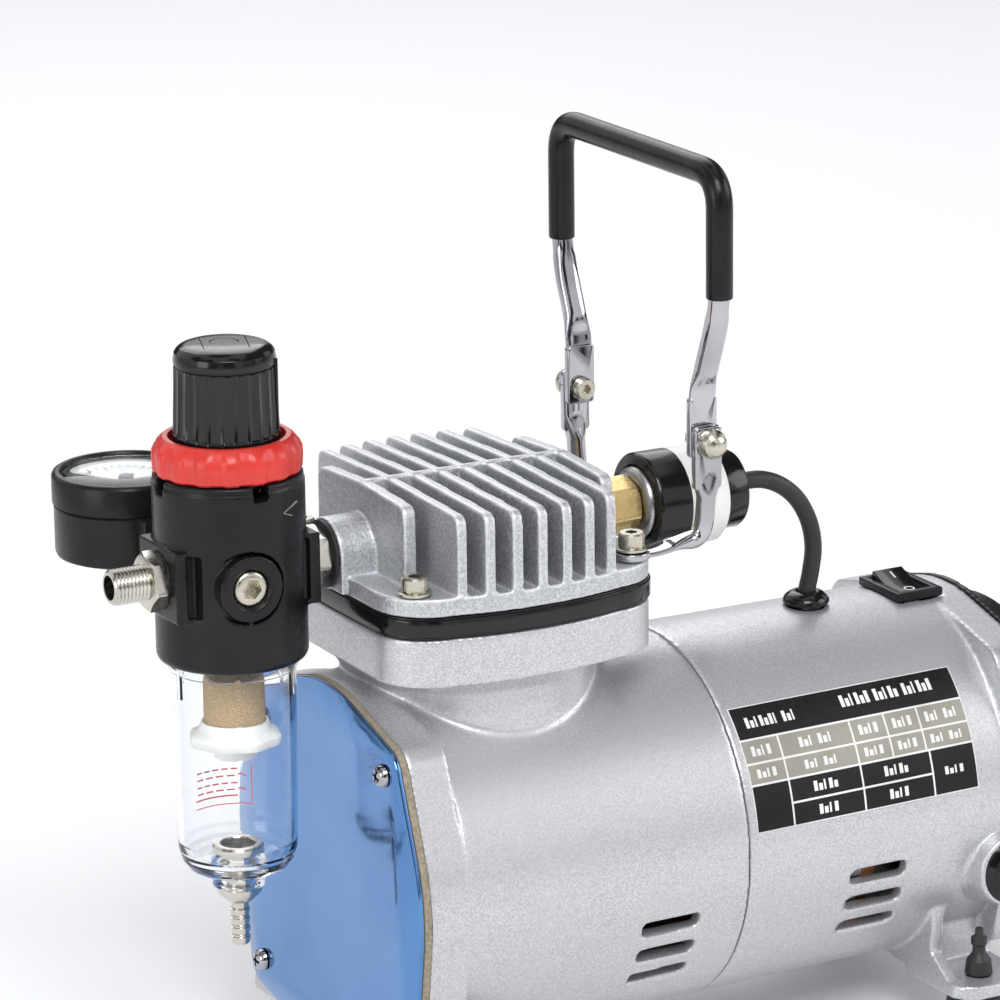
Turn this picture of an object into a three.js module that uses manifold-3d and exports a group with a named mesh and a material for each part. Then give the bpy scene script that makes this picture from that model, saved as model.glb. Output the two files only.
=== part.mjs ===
// Airbrush compressor: an oil-free piston compressor with a filter regulator,
// a pressure gauge, a pressure switch and a folding carrying handle.
// Millimetres, +Z up. While it is drawn, X runs along the motor axis from the front
// cover to the fan, X = 0 and Y = 0 lie on the cylinder axis, and Z = 0 is the floor.
// The last lines move the whole object so that its bounding box is centred on the origin.
import * as THREE from 'three';
import { mergeVertices } from 'three/addons/utils/BufferGeometryUtils.js';
import Module from 'manifold-3d';

const wasm = await Module();
wasm.setup();

// ---- driving dimensions -------------------------------------------------------------
const GAP = 0.3; // clearance between pieces that touch
const AXIS_Z = 63; // motor axis above the floor
const CASE_R = 52; // outer radius of the two castings
const CASE_FRONT_R = 53.4; // the crankcase flares a little towards its cover
const WALL_IN_R = 48; // inner radius around the motor
const CHAMBER_R = 46.5; // inner radius of the crank chamber
const COVER_X = -43.5; // outer face of the front cover
const COVER_T = 1.2;
const GASKET_T = 2;
const SEAM_X = 57.7; // where the two castings meet
const REAR_X = 154; // rear end of the motor housing
const GUARD_END_X = 171.5; // rear end of the fan guard
const LUG_R = 8;
const FRONT_LUGS = [[-34.4, 37.4], [34.4, 37.4], [40.5, -38], [-40.5, -38]]; // y, z off the axis
const REAR_LUGS = [[-36, 36], [36, 36], [36, -36], [-36, -36]];
const FOOT_X = [-22, 134];
const FOOT_Y = 49.7;
const FLANGE_Y = 59.5; // outer edge of the foot flanges
const FLANGE_Z = 11.5;
const FLANGE_T = 4;

const HEAD_HALF = 40; // half the width of the square flanges
const HEAD_CORNER = 11;
const HEAD_BOW = 3.4; // how far the side edges bow out
const BLOCK_Z = [123, 136.2]; // square flange of the crankcase
const PLATE_Z = [136.5, 142.1];
const HEAD_Z = [142.4, 147.4];
const BORE_R = 22.6;
const LINER_R = 25;
const RIDGE_Z = 170; // top of the fins on the centre line
const FIN_DROP = 1.2; // the fin tops fall this much towards their ends
const FIN_PITCH = 7.4;
const FIN_T = 2.5;
const BOLT_AT = 32.5; // head bolts, off the cylinder axis each way
const DUCT_Z = 152; // ports of the head, the regulator and the pressure switch

const REG_X = -69.6; // regulator axis
const REG_R = 20;
const REG_Z = [128.4, 178.7];
const PORT_FACE = 20.7; // port faces off the regulator axis
const SIDE_PORT_X = -73.2; // axis of the gauge port and of the plugged port
const SIDE_FACE = 20.5;
const PORT_R = 5.1; // bore of every threaded port
const THREAD_R = 4.8;
const HEX_AF = 14;
const KNOB_R = 13.5;
const KNOB_Z = [187, 213];
const BOWL_R = 16.6;
const BOWL_Z = [68.8, 138];

const GAUGE_Y = 56;
const GAUGE_R = 20;
const GAUGE_Z = [143.3, 166.4];

const SWITCH_R = 13.5;
const SWITCH_X = [51, 55.8, 75, 83]; // collar, body, cap, end
const LEAD_R = 2.5;
const GROMMET_X = 107.5;

const PIVOT = { x: 54, y: 34.2, z: 177.2 };
const TUBE_R = 2.9;
const SLEEVE_R = 3.8;
const LEG_Y = 43.5; // legs of the handle, after the outward jog
const BAR_Z = 250.4; // centre line of the handle's top bar
const SLEEVE_END_Z = 217.5;
const CORNER = 9; // where the handle's bends begin, off each corner

const ROCKER = { x: 139, w: 15, l: 21, tilt: 12 };
const GLAND = { x: 141, z: 46.5, r: 10.4, face: 51.7 };
const CRANK_THROW = 7; // half of the piston stroke
const FRONT_SLOTS_X = [25, 43];
const REAR_SLOTS_X = [91, 109];
const OBJECT_CENTRE = { x: 33.6, y: 8.25 };

// ---- geometry helpers ---------------------------------------------------------------
const TO_X = new THREE.Matrix4().set(0, 1, 0, 0, -1, 0, 0, 0, 0, 0, 1, 0, 0, 0, 0, 1);
const TO_Z = new THREE.Matrix4().set(1, 0, 0, 0, 0, 0, -1, 0, 0, 1, 0, 0, 0, 0, 0, 1);
const YZ_PLANE = new THREE.Matrix4().set(0, 0, 1, 0, 1, 0, 0, 0, 0, 1, 0, 0, 0, 0, 0, 1);
const XZ_PLANE = new THREE.Matrix4().set(1, 0, 0, 0, 0, 0, 1, 0, 0, 1, 0, 0, 0, 0, 0, 1);

// A three.js geometry as a manifold solid that faces outwards.
function solid(geometry) {
  const bare = geometry.clone();
  bare.deleteAttribute('normal');
  bare.deleteAttribute('uv');
  const merged = mergeVertices(bare, 1e-4);
  const p = merged.attributes.position;
  const at = (i) => new THREE.Vector3().fromBufferAttribute(p, i);
  const faces = [];
  let volume = 0;
  for (let i = 0; i < merged.index.count; i += 3) {
    const [a, b, c] = [0, 1, 2].map((k) => merged.index.getX(i + k));
    if (a === b || b === c || c === a) continue;
    faces.push([a, b, c]);
    volume += at(a).dot(at(b).cross(at(c)));
  }
  const triVerts = faces.flatMap(([a, b, c]) => (volume < 0 ? [a, c, b] : [a, b, c]));
  const vertProperties = new Float32Array(p.array);
  return new wasm.Manifold(
    new wasm.Mesh({ numProp: 3, vertProperties, triVerts: new Uint32Array(triVerts) }),
  );
}

function toGeometry(shape) {
  const m = shape.getMesh();
  const geometry = new THREE.BufferGeometry();
  geometry.setAttribute('position', new THREE.BufferAttribute(new Float32Array(m.vertProperties), 3));
  geometry.setIndex(new THREE.BufferAttribute(new Uint32Array(m.triVerts), 1));
  geometry.computeVertexNormals();
  return geometry;
}

const join = (...shapes) => shapes.reduce((a, b) => a.add(b));
const cut = (base, ...tools) => tools.reduce((a, b) => a.subtract(b), base);

function block(x0, x1, y0, y1, z0, z1) {
  const g = new THREE.BoxGeometry(x1 - x0, y1 - y0, z1 - z0);
  g.translate((x0 + x1) / 2, (y0 + y1) / 2, (z0 + z1) / 2);
  return solid(g);
}

// How many flat sides stand for a round of this radius.
const facets = (radius) => Math.max(8, Math.min(32, 2 * Math.round(3.5 + radius / 4.2)));

// A turned piece: the profile lists [radius, distance along the axis].
function turned(axis, profile, at = [0, 0, 0], sides = 0, phase = 0) {
  const points = profile.map(([r, h]) => new THREE.Vector2(r, h));
  const round = facets(Math.max(...profile.map(([r]) => r)));
  const g = new THREE.LatheGeometry(points, sides || round, phase);
  if (axis === 'x') g.applyMatrix4(TO_X);
  if (axis === 'z') g.applyMatrix4(TO_Z);
  g.translate(...at);
  return solid(g);
}

function rod(axis, r, from, to, at) {
  return turned(axis, [[0, from], [r, from], [r, to], [0, to]], at);
}

function ring(axis, inner, outer, from, to, at) {
  return turned(axis, [[inner, from], [outer, from], [outer, to], [inner, to], [inner, from]], at);
}

function hexBar(axis, acrossFlats, from, to, at, flatOnTop = true) {
  const r = acrossFlats / Math.sqrt(3);
  return turned(axis, [[0, from], [r, from], [r, to], [0, to]], at, 6, flatOnTop ? Math.PI / 6 : 0);
}

// A flat outline pushed along an axis. Outlines along x are drawn in (y, z), along y in
// (x, z) and along z in (x, y).
function prism(axis, shape, from, to, curveSegments = 4) {
  const options = { depth: to - from, bevelEnabled: false, curveSegments };
  const g = new THREE.ExtrudeGeometry(shape, options);
  g.translate(0, 0, from);
  if (axis === 'x') g.applyMatrix4(YZ_PLANE);
  if (axis === 'y') g.applyMatrix4(XZ_PLANE);
  return solid(g);
}

const outline = (points) => new THREE.Shape(points.map(([u, v]) => new THREE.Vector2(u, v)));

// Two circles and the tangents that wrap them.
function wrapped([u0, v0], r0, [u1, v1], r1, steps = 7) {
  const heading = Math.atan2(v1 - v0, u1 - u0);
  const open = Math.acos((r0 - r1) / Math.hypot(u1 - u0, v1 - v0));
  const points = [];
  for (let i = 0; i <= steps; i++) {
    const a = heading - open + (2 * open * i) / steps;
    points.push([u1 + r1 * Math.cos(a), v1 + r1 * Math.sin(a)]);
  }
  for (let i = 0; i <= steps; i++) {
    const a = heading + open + (2 * (Math.PI - open) * i) / steps;
    points.push([u0 + r0 * Math.cos(a), v0 + r0 * Math.sin(a)]);
  }
  return outline(points);
}

// A straight-sided path whose corners are rounded, by less where its sides are short.
function roundedPath(points, radius) {
  const v = points.map((p) => new THREE.Vector3(...p));
  const path = new THREE.CurvePath();
  let from = v[0];
  for (let i = 1; i < v.length - 1; i++) {
    const [back, ahead] = [v[i - 1], v[i + 1]].map((q) => v[i].distanceTo(q));
    const near = v[i].clone().lerp(v[i - 1], Math.min(radius / back, 0.48));
    const far = v[i].clone().lerp(v[i + 1], Math.min(radius / ahead, 0.48));
    path.add(new THREE.LineCurve3(from, near));
    path.add(new THREE.QuadraticBezierCurve3(near, v[i], far));
    from = far;
  }
  path.add(new THREE.LineCurve3(from, v[v.length - 1]));
  return path;
}

function tube(path, radius, sides, steps) {
  const circle = [];
  for (let i = 0; i < sides; i++) {
    const a = (2 * Math.PI * i) / sides;
    circle.push([radius * Math.cos(a), radius * Math.sin(a)]);
  }
  return solid(new THREE.ExtrudeGeometry(outline(circle), { steps, extrudePath: path }));
}

function bowedSquare(half, bow, corner) {
  const c = half - corner;
  const s = new THREE.Shape();
  s.moveTo(-c, -half);
  s.quadraticCurveTo(0, -half - 2 * bow, c, -half);
  s.absarc(c, -c, corner, -Math.PI / 2, 0, false);
  s.absarc(c, c, corner, 0, Math.PI / 2, false);
  s.quadraticCurveTo(0, half + 2 * bow, -c, half);
  s.absarc(-c, c, corner, Math.PI / 2, Math.PI, false);
  s.absarc(-c, -c, corner, Math.PI, 1.5 * Math.PI, false);
  return s;
}

// ---- materials ----------------------------------------------------------------------
const finish = (color, roughness, metalness) =>
  new THREE.MeshStandardMaterial({ color, roughness, metalness });
const silverPaint = () => finish(0xc4c6ca, 0.45, 0.6);
const castAluminium = () => finish(0xb2b6ba, 0.6, 0.7);
const bluePlate = () => finish(0x4f86c6, 0.15, 0.8);
const gasketBoard = () => finish(0x9a8f78, 0.9, 0);
const blackPlastic = () => finish(0x17171a, 0.4, 0);
const blackRubber = () => finish(0x141414, 0.75, 0);
const redPlastic = () => finish(0xe0352b, 0.35, 0);
const whitePlastic = () => finish(0xe9e9e4, 0.5, 0);
const chrome = () => finish(0xd9dbdd, 0.08, 1);
const nickel = () => finish(0xb9b2a3, 0.25, 1);
const brass = () => finish(0xc9a75a, 0.3, 1);
const steel = () => finish(0x9a9da1, 0.35, 1);
const copper = () => finish(0xb0683c, 0.4, 1);
const sinteredBronze = () => finish(0xa8906a, 0.9, 0.5);
const clearPlastic = () => finish(0xdfe8ee, 0.05, 0);
const paperWhite = () => finish(0xf2f2ee, 0.8, 0);

const group = new THREE.Group();

function add(name, shape, material, at = [0, 0, 0]) {
  const mesh = new THREE.Mesh(toGeometry(shape), material);
  mesh.name = name;
  mesh.position.set(...at);
  group.add(mesh);
}

// ---- castings -----------------------------------------------------------------------
const offAxis = ([y, z]) => [0, y, AXIS_Z + z];

// The round end of a casting with a lug at each screw, each lug blended by tangents.
function luggedDisc(radius, lugs, from, to) {
  const s = new THREE.Shape();
  const order = lugs.map(([y, z]) => ({ y, z, a: Math.atan2(z, y) })).sort((p, q) => p.a - q.a);
  const last = order[order.length - 1];
  const spread = ({ y, z }) => Math.acos((radius - LUG_R) / Math.hypot(y, z));
  let leave = last.a + spread(last) - 2 * Math.PI;
  for (const lug of order) {
    const half = spread(lug);
    s.absarc(0, 0, radius, leave, lug.a - half, false);
    s.absarc(lug.y, lug.z, LUG_R, lug.a - half, lug.a + half, false);
    leave = lug.a + half;
  }
  return prism('x', s, from, to, 4).translate(0, 0, AXIS_Z);
}

// Three cooling slots on each side, low on the casting.
function coolingSlots([x0, x1], angles) {
  const slots = [];
  for (const side of [-1, 1]) {
    for (const angle of angles) {
      const slot = block(x0, x1, WALL_IN_R - 6, CASE_R + 4, -1.9, 1.9).rotate(-angle, 0, 0);
      slots.push((side < 0 ? slot.mirror([0, 1, 0]) : slot).translate(0, 0, AXIS_Z));
    }
  }
  return slots;
}

// A cast leg: a cross wall, a web along the belly and a flange for the rubber foot.
function leg(side, wallX, flangeX, footX) {
  const wall = prism('x', outline([
    [20, AXIS_Z - 46], [44, AXIS_Z - 24], [FLANGE_Y - 17, FLANGE_Z + 10],
    [FLANGE_Y - 5, FLANGE_Z + 2], [FLANGE_Y - 5, FLANGE_Z], [20, FLANGE_Z + 3],
  ]), wallX, wallX + 4);
  const web = block(flangeX[0], flangeX[1], 33, 37, FLANGE_Z, AXIS_Z - 33);
  const corner = 9;
  const s = new THREE.Shape();
  s.moveTo(flangeX[0], 30);
  s.lineTo(flangeX[0], FLANGE_Y - corner);
  s.absarc(flangeX[0] + corner, FLANGE_Y - corner, corner, Math.PI, Math.PI / 2, true);
  s.absarc(flangeX[1] - corner, FLANGE_Y - corner, corner, Math.PI / 2, 0, true);
  s.lineTo(flangeX[1], 30);
  const flange = prism('z', s, FLANGE_Z, FLANGE_Z + FLANGE_T);
  const whole = cut(join(wall, web, flange), rod('z', 3.3, 5, 20, [footX, FOOT_Y, 0]));
  return side < 0 ? whole.mirror([0, 1, 0]) : whole;
}

const holesX = (lugs, r, from, to) => lugs.map((p) => rod('x', r, from, to, offAxis(p)));
const boltHoles = (r, from, to) =>
  [-1, 1].flatMap((i) => [-1, 1].map((j) => rod('z', r, from, to, [i * BOLT_AT, j * BOLT_AT, 0])));

function crankcase() {
  const front = COVER_X + COVER_T + GASKET_T + 2 * GAP;
  const axis = [0, 0, AXIS_Z];
  const lugEnd = front + 11.5;
  const shell = turned('x', [[0, lugEnd], [CASE_FRONT_R - 0.2, lugEnd], [CASE_R, SEAM_X], [0, SEAM_X]], axis);
  const neck = turned('z', [[0, AXIS_Z], [33, AXIS_Z], [33, 108], [34, 116], [37.5, 123.2], [0, 123.2]],
    [0, 0, 0]);
  const outside = join(
    shell,
    luggedDisc(CASE_FRONT_R, FRONT_LUGS, front, lugEnd),
    neck,
    prism('z', bowedSquare(HEAD_HALF, HEAD_BOW, HEAD_CORNER), ...BLOCK_Z),
    leg(-1, front, [front, -10], FOOT_X[0]),
    leg(1, front, [front, -10], FOOT_X[0]),
  );
  return cut(
    outside,
    rod('x', CHAMBER_R, front - 1, 19, axis),
    rod('x', WALL_IN_R, 23.5, SEAM_X + 1, axis),
    rod('x', 10.3, 18, 24, axis),
    rod('z', LINER_R + 2 * GAP, AXIS_Z + 26, BLOCK_Z[1] + 1, [0, 0, 0]),
    ...coolingSlots(FRONT_SLOTS_X, [15.5, 25.5, 35.5]),
    ...holesX(FRONT_LUGS, 1.7, front - 1, front + 9),
    ...boltHoles(2.3, BLOCK_Z[0] - 1, BLOCK_Z[1] + 1),
  );
}

function motorHousing() {
  const front = SEAM_X + GAP;
  const axis = [0, 0, AXIS_Z];
  const lugStart = REAR_X - 11;
  const shell = turned('x', [[0, front], [CASE_R, front], [CASE_R - 0.6, lugStart], [0, lugStart]], axis);
  const outside = join(
    shell,
    luggedDisc(CASE_R - 0.4, REAR_LUGS, lugStart, REAR_X),
    leg(-1, 122.5, [122.5, 146.5], FOOT_X[1]),
    leg(1, 122.5, [122.5, 146.5], FOOT_X[1]),
    rod('y', GLAND.r + 1.2, -GLAND.face, -40, [GLAND.x, 0, GLAND.z]),
  );
  const hollow = cut(
    outside,
    rod('x', WALL_IN_R, front - 1, REAR_X + 1, axis),
    ...holesX(REAR_LUGS, 1.7, REAR_X - 9, REAR_X + 1),
    ...coolingSlots(REAR_SLOTS_X, [12.5, 22.5, 32.5]),
    rod('z', 5.3, AXIS_Z + 40, AXIS_Z + 60, [GROMMET_X, 0, 0]),
    rod('y', 7.8, -60, -40, [GLAND.x, 0, GLAND.z]),
    block(ROCKER.x - 7.8, ROCKER.x + 7.8, -10.8, 10.8, AXIS_Z + 50.5, AXIS_Z + 60),
    block(ROCKER.x - 6.6, ROCKER.x + 6.6, -9.6, 9.6, AXIS_Z + 40, AXIS_Z + 60),
  );
  const bridge = join(
    block(124, 128, -WALL_IN_R - 1, WALL_IN_R + 1, AXIS_Z - 7, AXIS_Z + 7),
    rod('x', 14, 122, 130, axis),
  );
  return cut(join(hollow, bridge), rod('x', 10.3, 121, 131, axis));
}

function frontCover() {
  const plate = luggedDisc(CASE_FRONT_R, FRONT_LUGS, COVER_X, COVER_X + COVER_T);
  return cut(plate, ...holesX(FRONT_LUGS, 1.8, COVER_X - 1, COVER_X + 3));
}

function coverGasket() {
  const from = COVER_X + COVER_T + GAP;
  const sheet = luggedDisc(CASE_FRONT_R, FRONT_LUGS, from, from + GASKET_T);
  const window = rod('x', CHAMBER_R, from - 1, from + GASKET_T + 1, [0, 0, AXIS_Z]);
  return cut(sheet, window, ...holesX(FRONT_LUGS, 1.8, from - 1, from + 5));
}

// A pan-head screw that points along +X, its head's underside at the origin.
function coverScrew() {
  return turned('x', [
    [0, -2.3], [1.4, -2.2], [2.6, -1.5], [3.1, -0.5], [3.1, 0], [1.4, 0], [1.4, 11], [0, 11],
  ], [0, 0, 0]);
}

function fanGuard() {
  const from = REAR_X + GAP;
  const axis = [0, 0, AXIS_Z];
  const outside = join(
    luggedDisc(CASE_R - 0.2, REAR_LUGS, from, from + 2),
    turned('x', [[0, from], [46.5, from], [45.5, 167], [42, 170.4], [36, GUARD_END_X], [0, GUARD_END_X]],
      axis),
  );
  const hollow = cut(
    outside,
    rod('x', 43.5, from - 1, 168.5, axis),
    ...holesX(REAR_LUGS, 1.8, from - 1, from + 3),
  );
  const slots = [-24, -16, -8, 0, 8, 16, 24].map((z) => {
    const half = Math.sqrt(34 ** 2 - z ** 2);
    return block(165, GUARD_END_X + 1, -half, half, AXIS_Z + z - 2, AXIS_Z + z + 2);
  });
  return cut(hollow, ...slots);
}

// ---- motor and crank train ----------------------------------------------------------
const STATOR_X = [64, 97];
const COIL_ANGLES = [0, 60, 120, 180, 240, 300];

function coilBars(width, height, from, to) {
  return COIL_ANGLES.map((angle) =>
    block(from, to, 36 - height / 2, 36 + height / 2, -width / 2, width / 2)
      .rotate(angle, 0, 0)
      .translate(0, 0, AXIS_Z));
}

function statorCore() {
  const core = ring('x', 27.5, WALL_IN_R - GAP, ...STATOR_X, [0, 0, AXIS_Z]);
  return cut(core, ...coilBars(9.6, 8.6, STATOR_X[0] - 1, STATOR_X[1] + 1));
}

function windings() {
  const at = [0, 0, AXIS_Z];
  return join(
    ring('x', 30, 42, STATOR_X[0] - 9, STATOR_X[0] - GAP, at),
    ring('x', 30, 42, STATOR_X[1] + GAP, STATOR_X[1] + 9, at),
    ...coilBars(9, 8, STATOR_X[0] - 1, STATOR_X[1] + 1),
  );
}

const bearing = (from, to) => ring('x', 5.3, 10, from, to, [0, 0, AXIS_Z]);

function rotor() {
  return ring('x', 5.3, 27, STATOR_X[0], STATOR_X[1], [0, 0, AXIS_Z]);
}

function motorShaft() {
  return turned('x', [[0, 10], [5, 10], [5, 148], [4, 148.3], [4, 164], [0, 164]], [0, 0, AXIS_Z]);
}

// The crank disc with its counterweight and the stub of the crank pin.
function crank() {
  const at = [0, 0, AXIS_Z];
  const disc = rod('x', 15, 8.5, 16.5, at);
  const weight = prism('x', wrapped([0, -6], 14, [0, -17.5], 7), 8.5, 16.5).translate(0, 0, AXIS_Z);
  const pin = rod('x', 4.5, 6.2, 9, [0, 0, AXIS_Z - CRANK_THROW]);
  return cut(join(disc, weight, pin), rod('x', 5.3, 9.7, 17, at));
}

// Rod and piston are one piece and the piston rocks in the bore.
function connectingRod() {
  const pinZ = AXIS_Z - CRANK_THROW;
  const crown = 119;
  const bigEnd = ring('x', 4.8, 9.5, -5.5, 5.5, [0, 0, pinZ]);
  const shank = block(-3, 3, -5, 5, pinZ + 8.8, crown - 5);
  const piston = rod('z', BORE_R - 0.4, crown - 6, crown, [0, 0, 0]);
  return join(bigEnd, shank, piston);
}

function cylinderLiner() {
  return ring('z', BORE_R, LINER_R, AXIS_Z + 27, BLOCK_Z[1], [0, 0, 0]);
}

function fan() {
  const hub = rod('x', 11, 150, 162, [0, 0, AXIS_Z]);
  const blades = [];
  for (let i = 0; i < 7; i++) {
    const blade = block(-1, 1, 9, 38, -8, 8).rotate(0, 50, 0);
    blades.push(blade.rotate((i * 360) / 7, 0, 0).translate(156, 0, AXIS_Z));
  }
  return cut(join(hub, ...blades), rod('x', 4.3, 149, 163, [0, 0, AXIS_Z]));
}

// ---- head ---------------------------------------------------------------------------
function valvePlate() {
  const sheet = prism('z', bowedSquare(HEAD_HALF + 0.3, HEAD_BOW, HEAD_CORNER), ...PLATE_Z);
  const ports = [-9, 9].map((x) => rod('z', 3, PLATE_Z[0] - 1, PLATE_Z[1] + 1, [x, 0, 0]));
  return cut(sheet, ...ports, ...boltHoles(2.3, PLATE_Z[0] - 1, PLATE_Z[1] + 1));
}

function fin(x, half, thickness) {
  const foot = HEAD_Z[1] - 1;
  const shoulder = RIDGE_Z - FIN_DROP;
  const profile = outline([
    [-half, foot], [half, foot], [half, shoulder - 1.5], [half - 1.5, shoulder],
    [0, RIDGE_Z], [-half + 1.5, shoulder], [-half, shoulder - 1.5],
  ]);
  return prism('x', profile, x - thickness / 2, x + thickness / 2);
}

function cylinderHead() {
  const inner = [-3, -2, -1, 0, 1, 2, 3];
  const fins = inner.map((k) => fin(k * FIN_PITCH, 43.4 - HEAD_BOW * (k / 3) ** 2, FIN_T));
  const plates = [-1, 1].map((s) => fin(s * 4 * FIN_PITCH, 25, 3.6));
  const duct = [0, 0, DUCT_Z];
  const body = join(
    prism('z', bowedSquare(HEAD_HALF, HEAD_BOW, HEAD_CORNER), ...HEAD_Z),
    ...fins,
    ...plates,
    block(-30, 30, -1.2, 1.2, HEAD_Z[1] - 1, RIDGE_Z),
    block(-30, 30, -10, 10, HEAD_Z[1] - 1, 161),
    rod('x', 9.7, -42, -28, duct),
    block(-42, -28, -9.7, 9.7, HEAD_Z[0] + 0.5, DUCT_Z),
    rod('x', 9.2, 28, 39.7, duct),
  );
  return cut(
    body,
    rod('x', PORT_R, -43, -31, duct),
    rod('x', 2.5, -32, -6, duct),
    rod('z', 3, HEAD_Z[0] - 1, DUCT_Z, [-9, 0, 0]),
    rod('x', PORT_R, 31, 41, duct),
    rod('x', 2.5, 6, 32, duct),
    rod('z', 3, HEAD_Z[0] - 1, DUCT_Z, [9, 0, 0]),
    ...boltHoles(2.3, HEAD_Z[0] - 1, HEAD_Z[1] + 1),
  );
}

// A socket-head bolt with its washer, the washer's underside at the origin.
function headBolt() {
  const body = turned('z', [
    [0, -21.5], [2, -21.5], [2, 0], [4.5, 0], [4.5, 0.8], [3.5, 0.8], [3.5, 4.5], [3.2, 4.8], [0, 4.8],
  ], [0, 0, 0]);
  return cut(body, hexBar('z', 3, 2.3, 6, [0, 0, 0]));
}

// ---- filter regulator ---------------------------------------------------------------
function regulatorBody() {
  const at = [REG_X, 0, 0];
  const halfY = 11.2;
  const halfZ = 9.6;
  const [z0, z1] = [DUCT_Z - halfZ, DUCT_Z + halfZ];
  const blocks = block(REG_X - PORT_FACE, REG_X + PORT_FACE, -halfY, halfY, z0, z1);
  const outside = join(
    turned('z', [[0, REG_Z[0]], [REG_R - 0.8, REG_Z[0]], [REG_R, REG_Z[0] + 1], [REG_R, REG_Z[1]],
      [0, REG_Z[1]]], at),
    blocks,
    rod('y', 8.8, -SIDE_FACE, SIDE_FACE, [SIDE_PORT_X, 0, DUCT_Z]),
  );
  const grooves = [-1, 1].flatMap((i) => [-1, 1].map((j) => {
    const [x, y] = [REG_X + i * (PORT_FACE - 4.5), j * (halfY + 0.6)];
    return block(x - 1.4, x + 1.4, y - 1.8, y + 1.8, z0 + 1.2, z1 - 1.2);
  }));
  const notches = [[0, 1], [1, 0]].map(([i, j]) => {
    const [w, l] = [i ? 50 : 4.4, j ? 50 : 4.4];
    return block(REG_X - w / 2, REG_X + w / 2, -l / 2, l / 2, REG_Z[1] - 2.2, REG_Z[1] + 1);
  });
  return cut(
    outside,
    rod('z', 17.3, REG_Z[0] - 1, 139, at),
    rod('z', 15, 164, REG_Z[1] + 1, at),
    rod('z', 3, 138, 165, at),
    rod('x', PORT_R, REG_X - PORT_FACE - 1, REG_X + PORT_FACE + 1, [0, 0, DUCT_Z]),
    rod('y', PORT_R, -SIDE_FACE - 1, SIDE_FACE + 1, [SIDE_PORT_X, 0, DUCT_Z]),
    ...grooves,
    ...notches,
  );
}

function regulatorBonnet() {
  const at = [REG_X, 0, 0];
  const wall = turned('z', [
    [12, 166.5], [14.7, 166.5], [14.7, 184], [11, 184], [11, 186.6], [4.5, 186.6], [4.5, 184.4],
    [10.5, 184.4], [12, 183], [12, 166.5],
  ], at);
  return wall;
}

function panelRing() {
  const at = [REG_X, 0, 0];
  const [z0, z1] = [REG_Z[1] + GAP, 188.4];
  const body = turned('z', [
    [15, z0], [19.3, z0], [19.6, z0 + 0.8], [19.6, z1 - 3], [18.6, z1 - 1.8], [16.6, z1], [15, z1], [15, z0],
  ], at);
  const scallops = [];
  for (let i = 0; i < 16; i++) {
    const a = (2 * Math.PI * (i + 0.5)) / 16;
    const centre = [REG_X + 22.6 * Math.cos(a), 22.6 * Math.sin(a), 0];
    scallops.push(rod('z', 3.6, z0 - 1, z1 + 1, centre));
  }
  return cut(body, ...scallops);
}

function knob() {
  const at = [REG_X, 0, 0];
  const [z0, z1] = KNOB_Z;
  const shell = turned('z', [
    [0, z0], [14.1, z0], [14.1, z0 + 6], [KNOB_R, z0 + 7], [KNOB_R, z1 - 2], [KNOB_R - 2, z1], [0, z1],
  ], at);
  const flutes = [];
  for (let i = 0; i < 18; i++) {
    const a = (2 * Math.PI * i) / 18;
    const centre = [REG_X + (KNOB_R + 0.5) * Math.cos(a), (KNOB_R + 0.5) * Math.sin(a), 0];
    flutes.push(rod('z', 0.9, z0 + 3, z1 - 4, centre));
  }
  return cut(
    shell,
    rod('z', 11.4, z0 - 1, 195.5, at),
    hexBar('z', 11, 195, 207, at),
    ...flutes,
  );
}

// Its hex head drives from the knob and its thread carries the spring seat.
function adjustingScrew() {
  const at = [REG_X, 0, 0];
  return join(hexBar('z', 10.3, 196.5, 203, at), rod('z', 4.1, 170, 197, at), rod('z', 7, 187, 189, at));
}

const springSeat = () => ring('z', 4.4, 10.8, 180.5, 183, [REG_X, 0, 0]);

function regulatingSpring() {
  const [turns, radius, bottom, top] = [4, 8, 167.2, 179.4];
  class Coil extends THREE.Curve {
    getPoint(t, target = new THREE.Vector3()) {
      const a = 2 * Math.PI * turns * t;
      return target.set(REG_X + radius * Math.cos(a), radius * Math.sin(a), bottom + (top - bottom) * t);
    }
  }
  return tube(new Coil(), 0.7, 5, 48);
}

function filterBowl() {
  const r = BOWL_R;
  const [z0, z1] = BOWL_Z;
  return turned('z', [
    [3.3, 64.6], [7.1, 64.6], [7.1, z0], [11, z0 + 0.4], [14.2, z0 + 2.4], [15.8, z0 + 6], [r, 120],
    [r, z1], [r - 1.6, z1], [r - 1.8, 120], [14.2, z0 + 6.6], [12.6, z0 + 4], [10, z0 + 2.6], [3.3, z0 + 2.6],
    [3.3, 64.6],
  ], [REG_X, 0, 0]);
}

const filterElement = () => ring('z', 3.2, 8.05, 110, 123.5, [REG_X, 0, 0]);

// The white louvred holder that carries the element on its stem.
function filterBaffle() {
  return turned('z', [
    [0, 101], [6, 101], [6, 103], [12.2, 103.4], [12.2, 108.4], [8.6, 109.7], [2.5, 109.7], [2.5, 146],
    [0, 146],
  ], [REG_X, 0, 0]);
}

function drainValve() {
  const at = [REG_X, 0, 0];
  const ribs = [];
  for (let i = 0; i < 4; i++) {
    const z = 48 + i * 2.6;
    ribs.push([2, z], [2.55, z + 1.8], [2, z + 1.9]);
  }
  const barb = turned('z', [[0, 48], ...ribs, [2.2, 60.5], [0, 60.5]], at);
  const spindle = rod('z', 3, 62, 74, at);
  const collar = turned('z', [[0, 60.2], [3.6, 60.2], [6, 62.4], [6, 64.2], [0, 64.2]], at);
  const nut = turned('z', [[0, 71.8], [6.9, 71.8], [6.9, 76], [6.2, 76.6], [0, 76.6]], at);
  const bore = rod('z', 1.1, 47, 80, at);
  return cut(join(barb, spindle, collar, nut), bore);
}

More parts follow.
